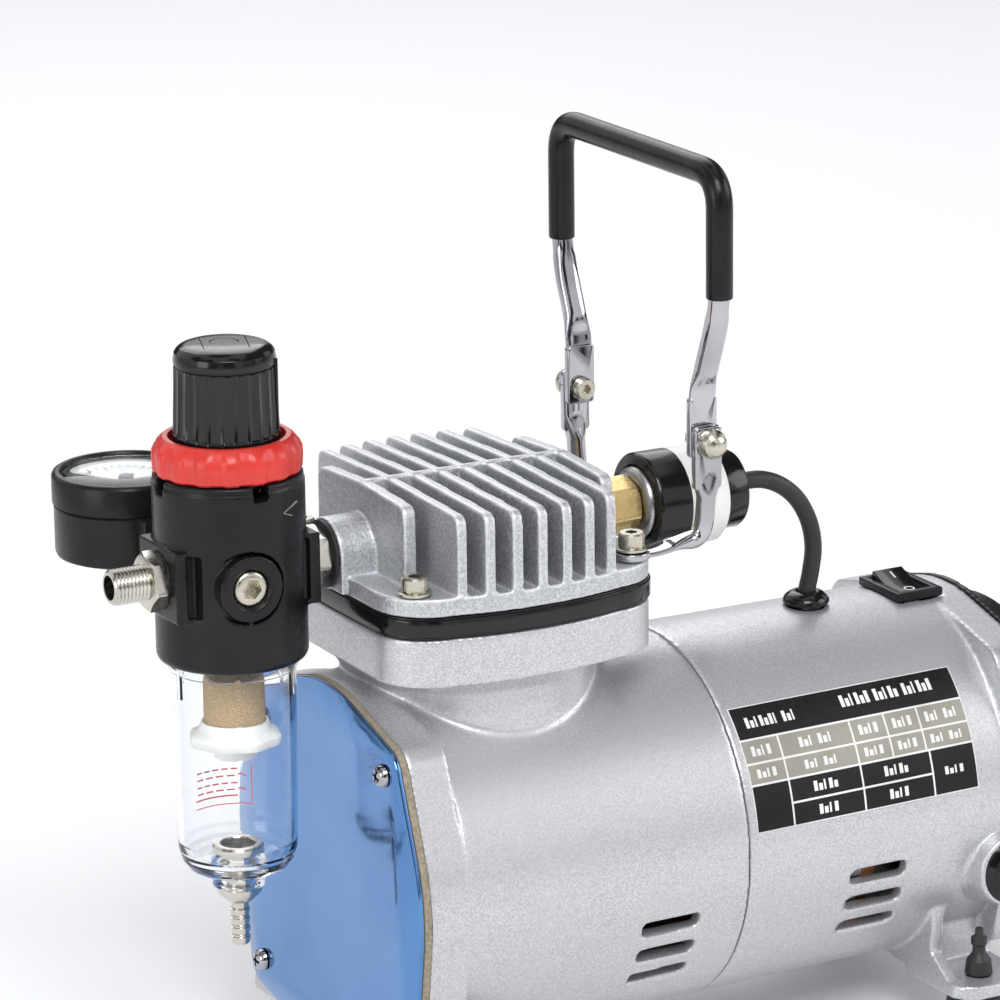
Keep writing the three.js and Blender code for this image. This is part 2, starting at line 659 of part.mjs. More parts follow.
function outletNipple() {
  const at = [0, 0, DUCT_Z];
  const faceReg = REG_X + PORT_FACE;
  const hex = hexBar('x', HEX_AF, faceReg + GAP, -42 - GAP, at);
  return cut(join(hex, rod('x', THREAD_R, faceReg - 6, -34, at)), rod('x', 2.5, faceReg - 8, -30, at));
}

function outletFitting() {
  const at = [0, 0, DUCT_Z];
  const face = REG_X - PORT_FACE - GAP;
  const body = join(
    hexBar('x', HEX_AF, face - 3.8, face, at),
    turned('x', [[0, -104.3], [4.4, -104.3], [4.9, -103.6], [4.9, face - 3], [0, face - 3]], at),
    rod('x', THREAD_R, face - 1, face + 7, at),
  );
  return cut(body, rod('x', 3.3, -106, face + 8, at));
}

function portPlug() {
  const at = [SIDE_PORT_X, 0, DUCT_Z];
  return cut(rod('y', THREAD_R, -20, -13, at), hexBar('y', 5, -21, -16, at, false));
}

// ---- gauge --------------------------------------------------------------------------
// The case and the threaded stem that carries it.
function gaugeCase() {
  const at = [SIDE_PORT_X, GAUGE_Y, 0];
  const [z0, z1] = GAUGE_Z;
  const stem = [SIDE_PORT_X, 0, DUCT_Z];
  const cup = turned('z', [
    [0, z0], [18.6, z0], [GAUGE_R - 0.4, z0 + 1.2], [GAUGE_R - 0.4, 157.6], [GAUGE_R, 158], [GAUGE_R, z1 - 0.8],
    [GAUGE_R - 0.8, z1], [17.4, z1], [17.4, 161], [0, 161],
  ], at);
  return join(
    cup,
    rod('y', THREAD_R, 13.5, 40, stem),
    hexBar('y', 12, 21.2, 29, stem),
    block(SIDE_PORT_X - 6, SIDE_PORT_X + 6, 32, 42, DUCT_Z - 6, DUCT_Z + 6),
  );
}

const gaugeDial = () => rod('z', 17.1, 161.3, 161.9, [SIDE_PORT_X, GAUGE_Y, 0]);
const gaugeLens = () => rod('z', 17.1, 164.2, 165.6, [SIDE_PORT_X, GAUGE_Y, 0]);
const NEEDLE_START = 225; // degrees from +X, the zero of the scale

function gaugeNeedle() {
  const blade = outline([[-4, -0.9], [-4, 0.9], [13, 0.25], [13, -0.25]]);
  const flat = join(prism('z', blade, 162.5, 163), rod('z', 2, 162.3, 163.4, [0, 0, 0]));
  return flat.rotate(0, 0, NEEDLE_START).translate(SIDE_PORT_X, GAUGE_Y, 0);
}

// ---- pressure switch and its lead ---------------------------------------------------
function switchAdapter() {
  const at = [0, 0, DUCT_Z];
  return cut(
    join(rod('x', THREAD_R, 33, 42, at), hexBar('x', HEX_AF, 40, SWITCH_X[0] - GAP, at)),
    rod('x', 2, 32, SWITCH_X[0], at),
  );
}

// The steel collar, the round body and the cap are clinched into one unit.
function pressureSwitch() {
  const [collar, body, cap, end] = SWITCH_X;
  return turned('x', [
    [0, collar], [8, collar], [9.6, collar + 1], [9.6, body], [12.6, body], [SWITCH_R, body + 1],
    [SWITCH_R, cap - 0.5], [SWITCH_R - 0.5, cap], [10.6, cap], [10.6, end - 0.6], [10, end], [0, end],
  ], [0, 0, DUCT_Z]);
}

function switchLead() {
  const route = [
    [SWITCH_X[3] + 2 * GAP, 0, 152.9], [88, 0, 153.2], [93, 0, 152.8], [99, 0, 150.3], [104.4, 0, 145.6],
    [108.4, 0, 138.4], [109.8, 0, 131], [109, 0, 124], [107.8, 0, 118.5], [GROMMET_X, 0, 113], [GROMMET_X, 0, 107],
  ];
  const curve = new THREE.CatmullRomCurve3(route.map((p) => new THREE.Vector3(...p)), false, 'centripetal');
  return tube(curve, LEAD_R, 8, 14);
}

function leadGrommet() {
  const top = AXIS_Z + CASE_R + GAP;
  return turned('z', [
    [3.1, top - 6], [5, top - 6], [5, top], [6.6, top], [6.6, top + 0.8], [5.4, top + 2.6], [3.8, top + 3.4],
    [3.1, top + 3.4], [3.1, top - 6],
  ], [GROMMET_X, 0, 0]);
}

function mainsGland() {
  const face = -(GLAND.face + GAP);
  return turned('y', [
    [0, face - 7], [6.5, face - 7], [GLAND.r, face - 3], [GLAND.r, face], [7.4, face], [7.4, -43.5], [0, -43.5],
  ], [GLAND.x, 0, GLAND.z]);
}

function rockerFrame() {
  const { x, w, l } = ROCKER;
  const z = AXIS_Z + 50.8;
  const plate = join(
    block(x - w / 2, x + w / 2, -l / 2, l / 2, z, z + 2.5),
    block(x - 6.2, x + 6.2, -9.2, 9.2, z - 14, z + 0.5),
  );
  return cut(plate, block(x - 5.2, x + 5.2, -8.2, 8.2, z - 5, z + 3));
}

// The rocker tilts about an axis along X: its +Y end stands proud at rest.
function rocker() {
  const { x, tilt } = ROCKER;
  const z = AXIS_Z + 52.6;
  const profile = outline([[-7.7, 0], [-7.7, 1.2], [0, 0], [7.7, 1.2], [7.7, 0], [3, -3.6], [-3, -3.6]]);
  return prism('x', profile, -4.9, 4.9).rotate(tilt, 0, 0).translate(x, 0, z);
}

// ---- handle -------------------------------------------------------------------------
// The handle's tab is flattened tube, drawn in (x, z) around the pivot.
function pivotTab(up, thicknessFrom, thicknessTo) {
  const shape = wrapped([PIVOT.x, PIVOT.z], 4.6, [PIVOT.x, PIVOT.z + up], 3.4);
  return prism('y', shape, thicknessFrom, thicknessTo);
}

const pinHole = () => rod('y', 2.3, -60, 60, [PIVOT.x, 0, PIVOT.z]);

function bailRoute() {
  const { x, z } = PIVOT;
  const half = [[32.9, z + 8], [33.6, z + 15], [LEG_Y, z + 36], [LEG_Y, BAR_Z]];
  const near = half.map(([y, h]) => [x, -y, h]);
  const far = half.map(([y, h]) => [x, y, h]).reverse();
  return [...near, ...far];
}

function handleBail() {
  const rail = tube(roundedPath(bailRoute(), CORNER), TUBE_R, 8, 42);
  const tabs = [-1, 1].map((s) => {
    const [a, b] = [s * 31.7, s * 34];
    return pivotTab(14, Math.min(a, b), Math.max(a, b));
  });
  return cut(join(rail, ...tabs), pinHole());
}

function handleGrip() {
  const legEnd = SLEEVE_END_Z;
  const route = [
    [PIVOT.x, -LEG_Y, legEnd], [PIVOT.x, -LEG_Y, BAR_Z], [PIVOT.x, LEG_Y, BAR_Z], [PIVOT.x, LEG_Y, legEnd],
  ];
  const bore = [...route];
  bore[0] = [PIVOT.x, -LEG_Y, legEnd - 2];
  bore[3] = [PIVOT.x, LEG_Y, legEnd - 2];
  return cut(
    tube(roundedPath(route, CORNER), SLEEVE_R, 8, 30),
    tube(roundedPath(bore, CORNER), TUBE_R + 0.5, 8, 30),
  );
}

// A bolted tab, a tube that turns upwards and a flattened end at the pivot.
function handleBracket(side) {
  const base = HEAD_Z[1] + GAP;
  const route = [
    [BOLT_AT + 7, 33, base + 2.6], [PIVOT.x, 33.6, base + 2.6], [PIVOT.x, 35.4, PIVOT.z - 6],
  ];
  const whole = cut(
    join(
      prism('z', wrapped([BOLT_AT, BOLT_AT], 5, [BOLT_AT + 8, 33], 4), base, base + 2),
      tube(roundedPath(route, 7), 2.6, 8, 18),
      pivotTab(-12, 34.3, 36.7),
    ),
    rod('z', 2.3, base - 1, base + 6, [BOLT_AT, BOLT_AT, 0]),
    pinHole(),
  );
  return side < 0 ? whole.mirror([0, 1, 0]) : whole;
}

// A button-head screw through both tabs with a dome nut outside.
function handlePivot(side) {
  const pin = turned('y', [
    [0, 28.8], [2.4, 29.2], [3.7, 31.2], [3.7, 31.4], [2, 31.4], [2, 37], [3.9, 37], [3.9, 39], [3.4, 40.6],
    [2, 41.8], [0, 42.2],
  ], [PIVOT.x, 0, PIVOT.z]);
  return side < 0 ? pin.mirror([0, 1, 0]) : pin;
}

// ---- feet ---------------------------------------------------------------------------
// A rubber foot pulled up through its hole, its ground face at the origin.
function rubberFoot() {
  const under = FLANGE_Z - GAP;
  const above = FLANGE_Z + FLANGE_T + GAP;
  return turned('z', [
    [0, 0], [8.8, 0], [9.8, 1.2], [8.8, under - 1], [8.2, under], [3, under], [3, above], [3.9, above],
    [3.6, above + 4.6], [2.4, above + 5.2], [2.3, above + 10.6], [1.2, above + 11], [1.1, above + 13.4],
    [0, above + 13.6],
  ], [0, 0, 0]);
}

// ---- assembly -----------------------------------------------------------------------
add('crankcase', crankcase(), silverPaint());
add('motor_housing', motorHousing(), silverPaint());
add('front_cover', frontCover(), bluePlate());
add('cover_gasket', coverGasket(), gasketBoard());
FRONT_LUGS.forEach((p, i) =>
  add(`cover_screw_${i + 1}`, coverScrew(), chrome(), [COVER_X - GAP, p[0], AXIS_Z + p[1]]));
add('fan_guard', fanGuard(), blackPlastic());
add('stator_core', statorCore(), steel());
add('windings', windings(), copper());
add('front_bearing', bearing(18.7, 23.7), steel());
add('rear_bearing', bearing(122.5, 129.5), steel());
add('rotor', rotor(), steel());
add('motor_shaft', motorShaft(), steel());
add('crank', crank(), castAluminium());
add('connecting_rod', connectingRod(), castAluminium());
add('cylinder_liner', cylinderLiner(), steel());
add('fan', fan(), blackPlastic());
add('valve_plate', valvePlate(), blackRubber());
add('cylinder_head', cylinderHead(), castAluminium());
[[-1, -1], [1, -1], [1, 1], [-1, 1]].forEach(([i, j], n) => {
  const onBracket = i > 0 ? 2 + GAP : 0;
  const at = [i * BOLT_AT, j * BOLT_AT, HEAD_Z[1] + GAP + onBracket];
  add(`head_bolt_${n + 1}`, headBolt(), nickel(), at);
});
add('outlet_nipple', outletNipple(), nickel());
add('regulator_body', regulatorBody(), blackPlastic());
add('regulator_bonnet', regulatorBonnet(), blackPlastic());
add('panel_ring', panelRing(), redPlastic());
add('knob', knob(), blackPlastic());
add('adjusting_screw', adjustingScrew(), steel());
add('spring_seat', springSeat(), brass());
add('regulating_spring', regulatingSpring(), steel());
add('filter_bowl', filterBowl(), clearPlastic());
add('filter_element', filterElement(), sinteredBronze());
add('filter_baffle', filterBaffle(), whitePlastic());
add('drain_valve', drainValve(), nickel());
add('outlet_fitting', outletFitting(), nickel());
add('port_plug', portPlug(), nickel());
add('gauge_case', gaugeCase(), blackPlastic());
add('gauge_dial', gaugeDial(), paperWhite());
add('gauge_lens', gaugeLens(), clearPlastic());
add('gauge_needle', gaugeNeedle(), blackPlastic());
add('switch_adapter', switchAdapter(), brass());
add('pressure_switch', pressureSwitch(), blackPlastic());
add('switch_lead', switchLead(), blackRubber());
add('lead_grommet', leadGrommet(), blackRubber());
add('mains_gland', mainsGland(), blackPlastic());
add('rocker_frame', rockerFrame(), blackPlastic());
add('rocker', rocker(), blackPlastic());
add('handle_bail', handleBail(), chrome());
add('handle_grip', handleGrip(), blackRubber());
for (const [side, word] of [[-1, 'near'], [1, 'far']]) {
  add(`handle_bracket_${word}`, handleBracket(side), chrome());
  add(`handle_pivot_${word}`, handlePivot(side), nickel());
}
FOOT_X.forEach((x, i) => [-1, 1].forEach((side, j) =>
  add(`foot_${2 * i + j + 1}`, rubberFoot(), blackRubber(), [x, side * FOOT_Y, 0])));

group.position.set(-OBJECT_CENTRE.x, -OBJECT_CENTRE.y, 0);
export default group;
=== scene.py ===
import math

import bmesh
import bpy
from mathutils import Matrix, Vector


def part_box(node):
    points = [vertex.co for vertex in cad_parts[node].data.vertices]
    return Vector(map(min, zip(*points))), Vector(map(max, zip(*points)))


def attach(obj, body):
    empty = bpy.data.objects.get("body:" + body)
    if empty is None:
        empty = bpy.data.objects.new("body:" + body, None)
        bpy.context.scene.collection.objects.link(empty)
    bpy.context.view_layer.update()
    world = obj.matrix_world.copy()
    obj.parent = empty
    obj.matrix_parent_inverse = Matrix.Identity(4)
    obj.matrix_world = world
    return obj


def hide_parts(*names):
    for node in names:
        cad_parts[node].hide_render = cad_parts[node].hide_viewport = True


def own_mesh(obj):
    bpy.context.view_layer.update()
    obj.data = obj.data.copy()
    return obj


# An airbrush compressor. Shapes are drawn in millimetres about the cylinder axis (x = y = 0,
# z = 0 on the floor, +X along the motor, -Y towards the viewer) and moved into the frame.
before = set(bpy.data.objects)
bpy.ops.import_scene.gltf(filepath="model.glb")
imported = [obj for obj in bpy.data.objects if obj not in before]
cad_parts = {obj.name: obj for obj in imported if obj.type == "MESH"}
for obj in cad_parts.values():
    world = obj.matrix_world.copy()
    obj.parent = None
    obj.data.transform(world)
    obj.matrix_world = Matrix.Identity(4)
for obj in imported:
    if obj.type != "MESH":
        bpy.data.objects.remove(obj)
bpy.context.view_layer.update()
MM = 0.001
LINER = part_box("cylinder_liner")
ORIGIN = Vector(((LINER[0].x + LINER[1].x) / 2, (LINER[0].y + LINER[1].y) / 2, 0))


class Place:
    """A CAD node's box in millimetres, in the drawing's own axes."""

    def __init__(self, node):
        low, high = [(corner - ORIGIN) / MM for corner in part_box(node)]
        self.x0, self.y0, self.z0 = low
        self.x1, self.y1, self.z1 = high
        self.x, self.y, self.z = (low + high) / 2


# ---- driving sizes --------------------------------------------------------------------
AXIS_Z = Place("motor_shaft").z
COVER = Place("front_cover")
GASKET = Place("cover_gasket")
CASE = Place("crankcase")
HOUSING = Place("motor_housing")
GUARD = Place("fan_guard")
PLATE = Place("valve_plate")
HEAD = Place("cylinder_head")
BODY = Place("regulator_body")
BOWL = Place("filter_bowl")
RING = Place("panel_ring")
KNOB = Place("knob")
GAUGE = Place("gauge_case")
LENS = Place("gauge_lens")
DIAL = Place("gauge_dial")
GLAND = Place("mains_gland")
FRAME = Place("rocker_frame")
GROMMET = Place("lead_grommet")
SEAM_X = CASE.x1
CASE_R = 52
FRONT_R = 53.4
LUG_R = 8
WALL_R = 48
CHAMBER_R = 46.5
REAR_LUG = 36
DUCT_Z = Place("outlet_fitting").z
REG_X = BOWL.x
PORT_X = Place("port_plug").x
REG, DUCT, PORT = (REG_X, 0, 0), (0, 0, DUCT_Z), (PORT_X, 0, DUCT_Z)
BOLT_AT = 32.5
FLANGE_HALF, FLANGE_CORNER, FLANGE_BOW = 40, 15.5, 3.4


# ---- shapes ---------------------------------------------------------------------------
def thing(verts, faces):
    mesh = bpy.data.meshes.new("shape")
    mesh.from_pydata([tuple(v) for v in verts], [], faces)
    mesh.validate()
    obj = bpy.data.objects.new("shape", mesh)
    bpy.context.scene.collection.objects.link(obj)
    return obj


def outward(obj):
    bm = bmesh.new()
    bm.from_mesh(obj.data)
    bmesh.ops.recalc_face_normals(bm, faces=bm.faces)
    bm.to_mesh(obj.data)
    bm.free()
    return obj


def to_axis(axis):
    """The matrix that takes a shape drawn along z onto another axis."""
    if axis == "x":
        return Matrix(((0, 0, 1, 0), (1, 0, 0, 0), (0, 1, 0, 0), (0, 0, 0, 1)))
    if axis == "y":
        return Matrix(((1, 0, 0, 0), (0, 0, 1, 0), (0, -1, 0, 0), (0, 0, 0, 1)))
    return Matrix.Identity(4)


def mirrored(obj, side=-1):
    """The shape as drawn where side is 1, and its mirror image across y = 0 where it is -1."""
    obj.data.transform(Matrix.Scale(side, 4, (0, 1, 0)))
    return outward(obj)


def round_about(steps):
    return [2 * math.pi * k / steps for k in range(steps)]


def skinned(rings, closed=False):
    """A skin over rings of points. A ring of one point is a pole. The skin has a cap at each
    end, or joins its last ring to its first."""
    verts, rows = [], []
    for points in rings:
        rows.append(list(range(len(verts), len(verts) + len(points))))
        verts += points
    steps = max(len(row) for row in rows)
    faces = [] if closed else [rows[0][::-1], rows[-1]]
    for low, high in zip(rows, rows[1:] + (rows[:1] if closed else [])):
        for i in range(steps):
            corners = ((low, i), (low, i + 1), (high, i + 1), (high, i))
            faces.append(list(dict.fromkeys(row[k % len(row)] for row, k in corners)))
    return outward(thing(verts, [face for face in faces if len(face) > 2]))


def moved(obj, at=(0, 0, 0), turn=0, about="z"):
    """Turns a shape about an axis through the drawing's origin, then shifts it."""
    matrix = Matrix.Rotation(math.radians(turn), 4, about.upper())
    obj.data.transform(Matrix.Translation(at) @ matrix)
    return obj


def fillet(points, radius, closed=False, steps=3):
    """Rounds the corners of a flat line. A point may carry its own radius as third value."""
    count = len(points)
    out = []
    for i, point in enumerate(points):
        here = Vector(point[:2])
        r = point[2] if len(point) > 2 else radius
        if r <= 0 or (not closed and i in (0, count - 1)):
            out.append(tuple(here))
            continue
        back = Vector(points[i - 1][:2]) - here
        ahead = Vector(points[(i + 1) % count][:2]) - here
        if back.length < 1e-6 or ahead.length < 1e-6:
            out.append(tuple(here))
            continue
        angle = back.angle(ahead)
        if angle > math.radians(176):
            out.append(tuple(here))
            continue
        reach = min(r / math.tan(angle / 2), 0.48 * back.length, 0.48 * ahead.length)
        start = here + back.normalized() * reach
        end = here + ahead.normalized() * reach
        for k in range(steps + 1):
            t = k / steps
            out.append(tuple((1 - t) ** 2 * start + 2 * t * (1 - t) * here + t * t * end))
    return out


def polar(levels, radius, at, steps=144):
    """A closed skin of rings about Z: levels lists (place, base radius) and radius(angle,
    place, base) gives each point's own radius. It ends on the axis, or closes on itself."""
    rings = []
    for h, base in levels:
        ring_points = []
        for a in round_about(steps if base > 1e-6 else 1):
            r = radius(a, h, base)
            ring_points.append((r * math.cos(a), r * math.sin(a), h))
        rings.append(ring_points)
    return moved(skinned(rings, levels[0][1] > 0), at)


def turned(profile, axis="z", at=(0, 0, 0), steps=72, soft=0.0):
    """A turned solid: the profile lists (radius, place along the axis). It starts and ends on
    the axis, or closes on itself as a ring."""
    if soft:
        profile = fillet(profile, soft, closed=profile[0][0] > 0)
    levels = [(point[1], point[0]) for point in profile]
    shape = polar(levels, lambda a, h, base: base, (0, 0, 0), steps)
    shape.data.transform(to_axis(axis))
    return moved(shape, at)


def rod(axis, r, start, end, at=(0, 0, 0), soft=0.0, steps=48):
    return turned([(0, start), (r, start), (r, end), (0, end)], axis, at, steps, soft)


def ring(axis, inner, outer, start, end, at=(0, 0, 0), soft=0.0, steps=72):
    profile = [(inner, start), (outer, start), (outer, end), (inner, end)]
    return turned(profile, axis, at, steps, soft)


def prism(outline, axis, start, end, bevel=0.0):
    """A flat outline pushed along an axis: (y, z) along x, (x, z) along y, (x, y) along z."""
    count = len(outline)
    obj = skinned([[(u, v, h) for u, v in outline] for h in (start, end)])
    if bevel:
        bm = bmesh.new()
        bm.from_mesh(obj.data)
        rim = [e for e in bm.edges if any(len(f.verts) == count for f in e.link_faces)]
        bmesh.ops.bevel(bm, geom=rim, offset=bevel, segments=2, profile=0.5, affect="EDGES",
            clamp_overlap=True)
        bm.to_mesh(obj.data)
        bm.free()
    flat = Matrix(((1, 0, 0, 0), (0, 0, 1, 0), (0, 1, 0, 0), (0, 0, 0, 1)))
    obj.data.transform(flat if axis == "y" else to_axis(axis))
    return outward(obj)


def rounded(x0, x1, y0, y1, radius, steps=3):
    """A rectangle's outline with round corners."""
    return fillet([(x0, y0), (x1, y0), (x1, y1), (x0, y1)], radius, True, steps)


def block(x0, x1, y0, y1, z0, z1, soft=0.0):
    return prism(rounded(x0, x1, y0, y1, soft), "z", z0, z1, soft)


def hexagon(flats, first=0.0):
    r = flats / math.sqrt(3)
    return [(r * math.cos(first + a), r * math.sin(first + a)) for a in round_about(6)]


def nut(axis, flats, start, end, at, first=0.0):
    """A hexagon whose corners are turned off at both ends."""
    body = prism(hexagon(flats, first), "z", start, end)
    r = flats / math.sqrt(3)
    chamfer = 0.62 * (r - flats / 2)
    profile = [(0, start), (flats / 2 - 0.15, start), (r, start + chamfer), (r, end - chamfer),
        (flats / 2 - 0.15, end), (0, end)]
    shape = both(body, turned(profile))
    shape.data.transform(to_axis(axis))
    return moved(shape, at)


def arc(centre, r, start, end, steps):
    angles = [start + (end - start) * k / steps for k in range(steps + 1)]
    return [(centre[0] + r * math.cos(a), centre[1] + r * math.sin(a)) for a in angles]


def lugged(radius, lugs, shrink=0.0):
    """A disc with a round lug at each screw, blended by tangents, in (y, z) off the axis."""
    order = sorted(lugs, key=lambda p: math.atan2(p[1], p[0]))
    lug_r = LUG_R - shrink
    big = radius - shrink
    spread = [math.acos((big - lug_r) / math.hypot(*p)) for p in order]
    angle = [math.atan2(p[1], p[0]) for p in order]
    leave = angle[-1] + spread[-1] - 2 * math.pi
    points = []
    for lug, a, half in zip(order, angle, spread):
        points += arc((0, 0), big, leave, a - half, 22)[1:]
        points += arc(lug, lug_r, a - half, a + half, 12)[1:]
        leave = a + half
    return [(y, z + AXIS_Z) for y, z in points]


def bowed_square(half, bow, corner, steps=16):
    """A square with round corners whose front and back edges bow out."""
    c = half - corner
    points = []
    for i in range(steps + 1):
        t = i / steps
        points.append((c * (2 * t - 1), -half - 4 * bow * t * (1 - t)))
    points += arc((c, -c), corner, -math.pi / 2, 0, 10)[1:]
    points += arc((c, c), corner, 0, math.pi / 2, 10)
    points += [(-x, -y) for x, y in points[:steps + 1]]
    points += arc((-c, c), corner, math.pi / 2, math.pi, 10)[1:]
    points += arc((-c, -c), corner, math.pi, 1.5 * math.pi, 10)[:-1]
    return points


def tube(points, size, sides=20, flat=None):
    """A tube along points. size is its radius, or a function of the share of its length that
    gives (half width along Y, half width in the plane of the bend)."""
    path = [Vector(p) for p in points]
    length = [0.0]
    for a, b in zip(path, path[1:]):
        length.append(length[-1] + (b - a).length)
    side = None
    rings = []
    for i, p in enumerate(path):
        ahead = (path[min(i + 1, len(path) - 1)] - path[max(i - 1, 0)]).normalized()
        if side is None:
            side = Vector(flat) if flat else ahead.orthogonal()
        side = (side - ahead * side.dot(ahead)).normalized()
        other = ahead.cross(side)
        a, b = size(length[i] / length[-1]) if callable(size) else (size, size)
        # A square-ish oval as it flattens, a true circle where both halves are alike.
        power = 1 if abs(a - b) < 0.2 else 0.72
        rings.append([])
        for angle in round_about(sides):
            c, s = math.cos(angle), math.sin(angle)
            u = math.copysign(abs(c) ** power, c) * a
            v = math.copysign(abs(s) ** power, s) * b
            rings[-1].append(p + side * u + other * v)
    return skinned(rings)


def curve_through(points, per_span=8):
    """A smooth line through points: centripetal Catmull-Rom spans."""
    p = [Vector(q) for q in points]
    p = [2 * p[0] - p[1], *p, 2 * p[-1] - p[-2]]
    out = []
    for a, b, c, d in zip(p, p[1:], p[2:], p[3:]):
        t1 = (b - a).length ** 0.5
        t2 = t1 + (c - b).length ** 0.5
        t3 = t2 + (d - c).length ** 0.5
        for k in range(per_span):
            t = t1 + (t2 - t1) * k / per_span
            ab = a.lerp(b, t / t1)
            bc = b.lerp(c, (t - t1) / (t2 - t1))
            cd = c.lerp(d, (t - t2) / (t3 - t2))
            abc = ab.lerp(bc, t / t2)
            bcd = bc.lerp(cd, (t - t1) / (t3 - t1))
            out.append(abc.lerp(bcd, (t - t1) / (t2 - t1)))
    out.append(p[-2])
    return out


def bent(points, radius, steps=8):
    """A straight-sided line in space whose corners are rounded."""
    p = [Vector(q) for q in points]
    out = [p[0]]
    for back, here, ahead in zip(p, p[1:], p[2:]):
        start = here.lerp(back, min(radius / (back - here).length, 0.48))
        end = here.lerp(ahead, min(radius / (ahead - here).length, 0.48))
        for k in range(steps + 1):
            t = k / steps
            out.append((1 - t) ** 2 * start + 2 * t * (1 - t) * here + t * t * end)
    out.append(p[-1])
    return out


def stepped(points, pitch):
    """The same line with a point at least every pitch."""
    out = [Vector(points[0])]
    for a, b in zip(points, points[1:]):
        a, b = Vector(a), Vector(b)
        n = max(1, math.ceil((b - a).length / pitch))
        out += [a.lerp(b, k / n) for k in range(1, n + 1)]
    return out


def threaded(axis, r, pitch, start, end, at, depth=0.5, around=40):
    """A turned end with a real helical thread, chamfered at the start."""
    rows = int((end - start) / pitch * 10)
    rings = []
    for i in range(rows + 1):
        h = start + (end - start) * i / rows
        rings.append([])
        for a in round_about(around):
            phase = (h / pitch - a / (2 * math.pi)) % 1
            crest = r - depth * abs(2 * phase - 1)
            edge = min(h - start, end - h)
            crest = min(crest, r - 0.9 + 1.2 * edge) if h - start < 1 else crest
            rings[-1].append((crest * math.cos(a), crest * math.sin(a), h))
    obj = skinned(rings)
    obj.data.transform(to_axis(axis))
    return moved(obj, at)


# ---- joining and cutting --------------------------------------------------------------
def settle(obj):
    """Applies an object's modifiers to its mesh."""
    graph = bpy.context.evaluated_depsgraph_get()
    mesh = bpy.data.meshes.new_from_object(obj.evaluated_get(graph))
    old = obj.data
    obj.modifiers.clear()
    obj.data = mesh
    bpy.data.meshes.remove(old)
    return obj


def boolean(base, tool, operation):
    modifier = base.modifiers.new("boolean", "BOOLEAN")
    modifier.operation = operation
    modifier.solver = "MANIFOLD"
    modifier.object = tool
    settle(base)
    bpy.data.objects.remove(tool)
    return base


def join(base, *others):
    for other in others:
        boolean(base, other, "UNION")
    return base


def cut(base, *tools):
    for tool in tools:
        boolean(base, tool, "DIFFERENCE")
    return base


def both(a, b):
    return boolean(a, b, "INTERSECT")


def together(name, *parts):
    """Several closed shells as one mesh, not joined where they touch."""
    bm = bmesh.new()
    for part in parts:
        bm.from_mesh(part.data)
        bpy.data.objects.remove(part)
    mesh = bpy.data.meshes.new(name)
    bm.to_mesh(mesh)
    bm.free()
    obj = bpy.data.objects.new(name, mesh)
    bpy.context.scene.collection.objects.link(obj)
    return obj


def cast(obj, voxel, rounds=4, keep=0.4, blend=None):
    """A casting's soft edges: an even remesh, smoothed. blend(point) says where the corner is
    broad, from 0 to 1."""
    remesh = obj.modifiers.new("remesh", "REMESH")
    remesh.mode = "VOXEL"
    remesh.voxel_size = voxel
    settle(obj)
    if blend:
        group = obj.vertex_groups.new(name="broad")
        for v in obj.data.vertices:
            weight = blend(v.co)
            if weight > 0.01:
                group.add([v.index], weight, "REPLACE")
        broad = obj.modifiers.new("broad", "SMOOTH")
        broad.factor, broad.iterations, broad.vertex_group = 0.9, 26, "broad"
    smooth = obj.modifiers.new("smooth", "SMOOTH")
    smooth.factor, smooth.iterations = 0.5, rounds
    if keep < 1:
        thin = obj.modifiers.new("thin", "DECIMATE")
        thin.ratio = keep
    settle(obj)
    obj.vertex_groups.clear()
    return obj


def bevelled(obj, width, segments=2, angle=32):
    modifier = obj.modifiers.new("bevel", "BEVEL")
    modifier.width, modifier.segments = width, segments
    modifier.limit_method = "ANGLE"
    modifier.angle_limit = math.radians(angle)
    modifier.use_clamp_overlap = True
    return settle(obj)


def piece(name, obj, material, replaces=(), sharp=38, body="casing"):
    """Names a finished shape, moves it into the frame, shades it and lets it ride."""
    obj.name = obj.data.name = name
    obj.data.transform(Matrix.Translation(ORIGIN) @ Matrix.Diagonal((MM, MM, MM, 1)))
    limit = math.radians(sharp)
    bm = bmesh.new()
    bm.from_mesh(obj.data)
    bmesh.ops.dissolve_degenerate(bm, dist=1e-7, edges=bm.edges)
    for face in bm.faces:
        face.smooth = True
    for edge in bm.edges:
        edge.smooth = len(edge.link_faces) == 2 and edge.calc_face_angle(0) < limit
    bm.to_mesh(obj.data)
    bm.free()
    obj.data.materials.clear()
    obj.data.materials.append(material)
    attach(obj, body)
    if replaces:
        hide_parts(*([replaces] if isinstance(replaces, str) else replaces))
    return obj


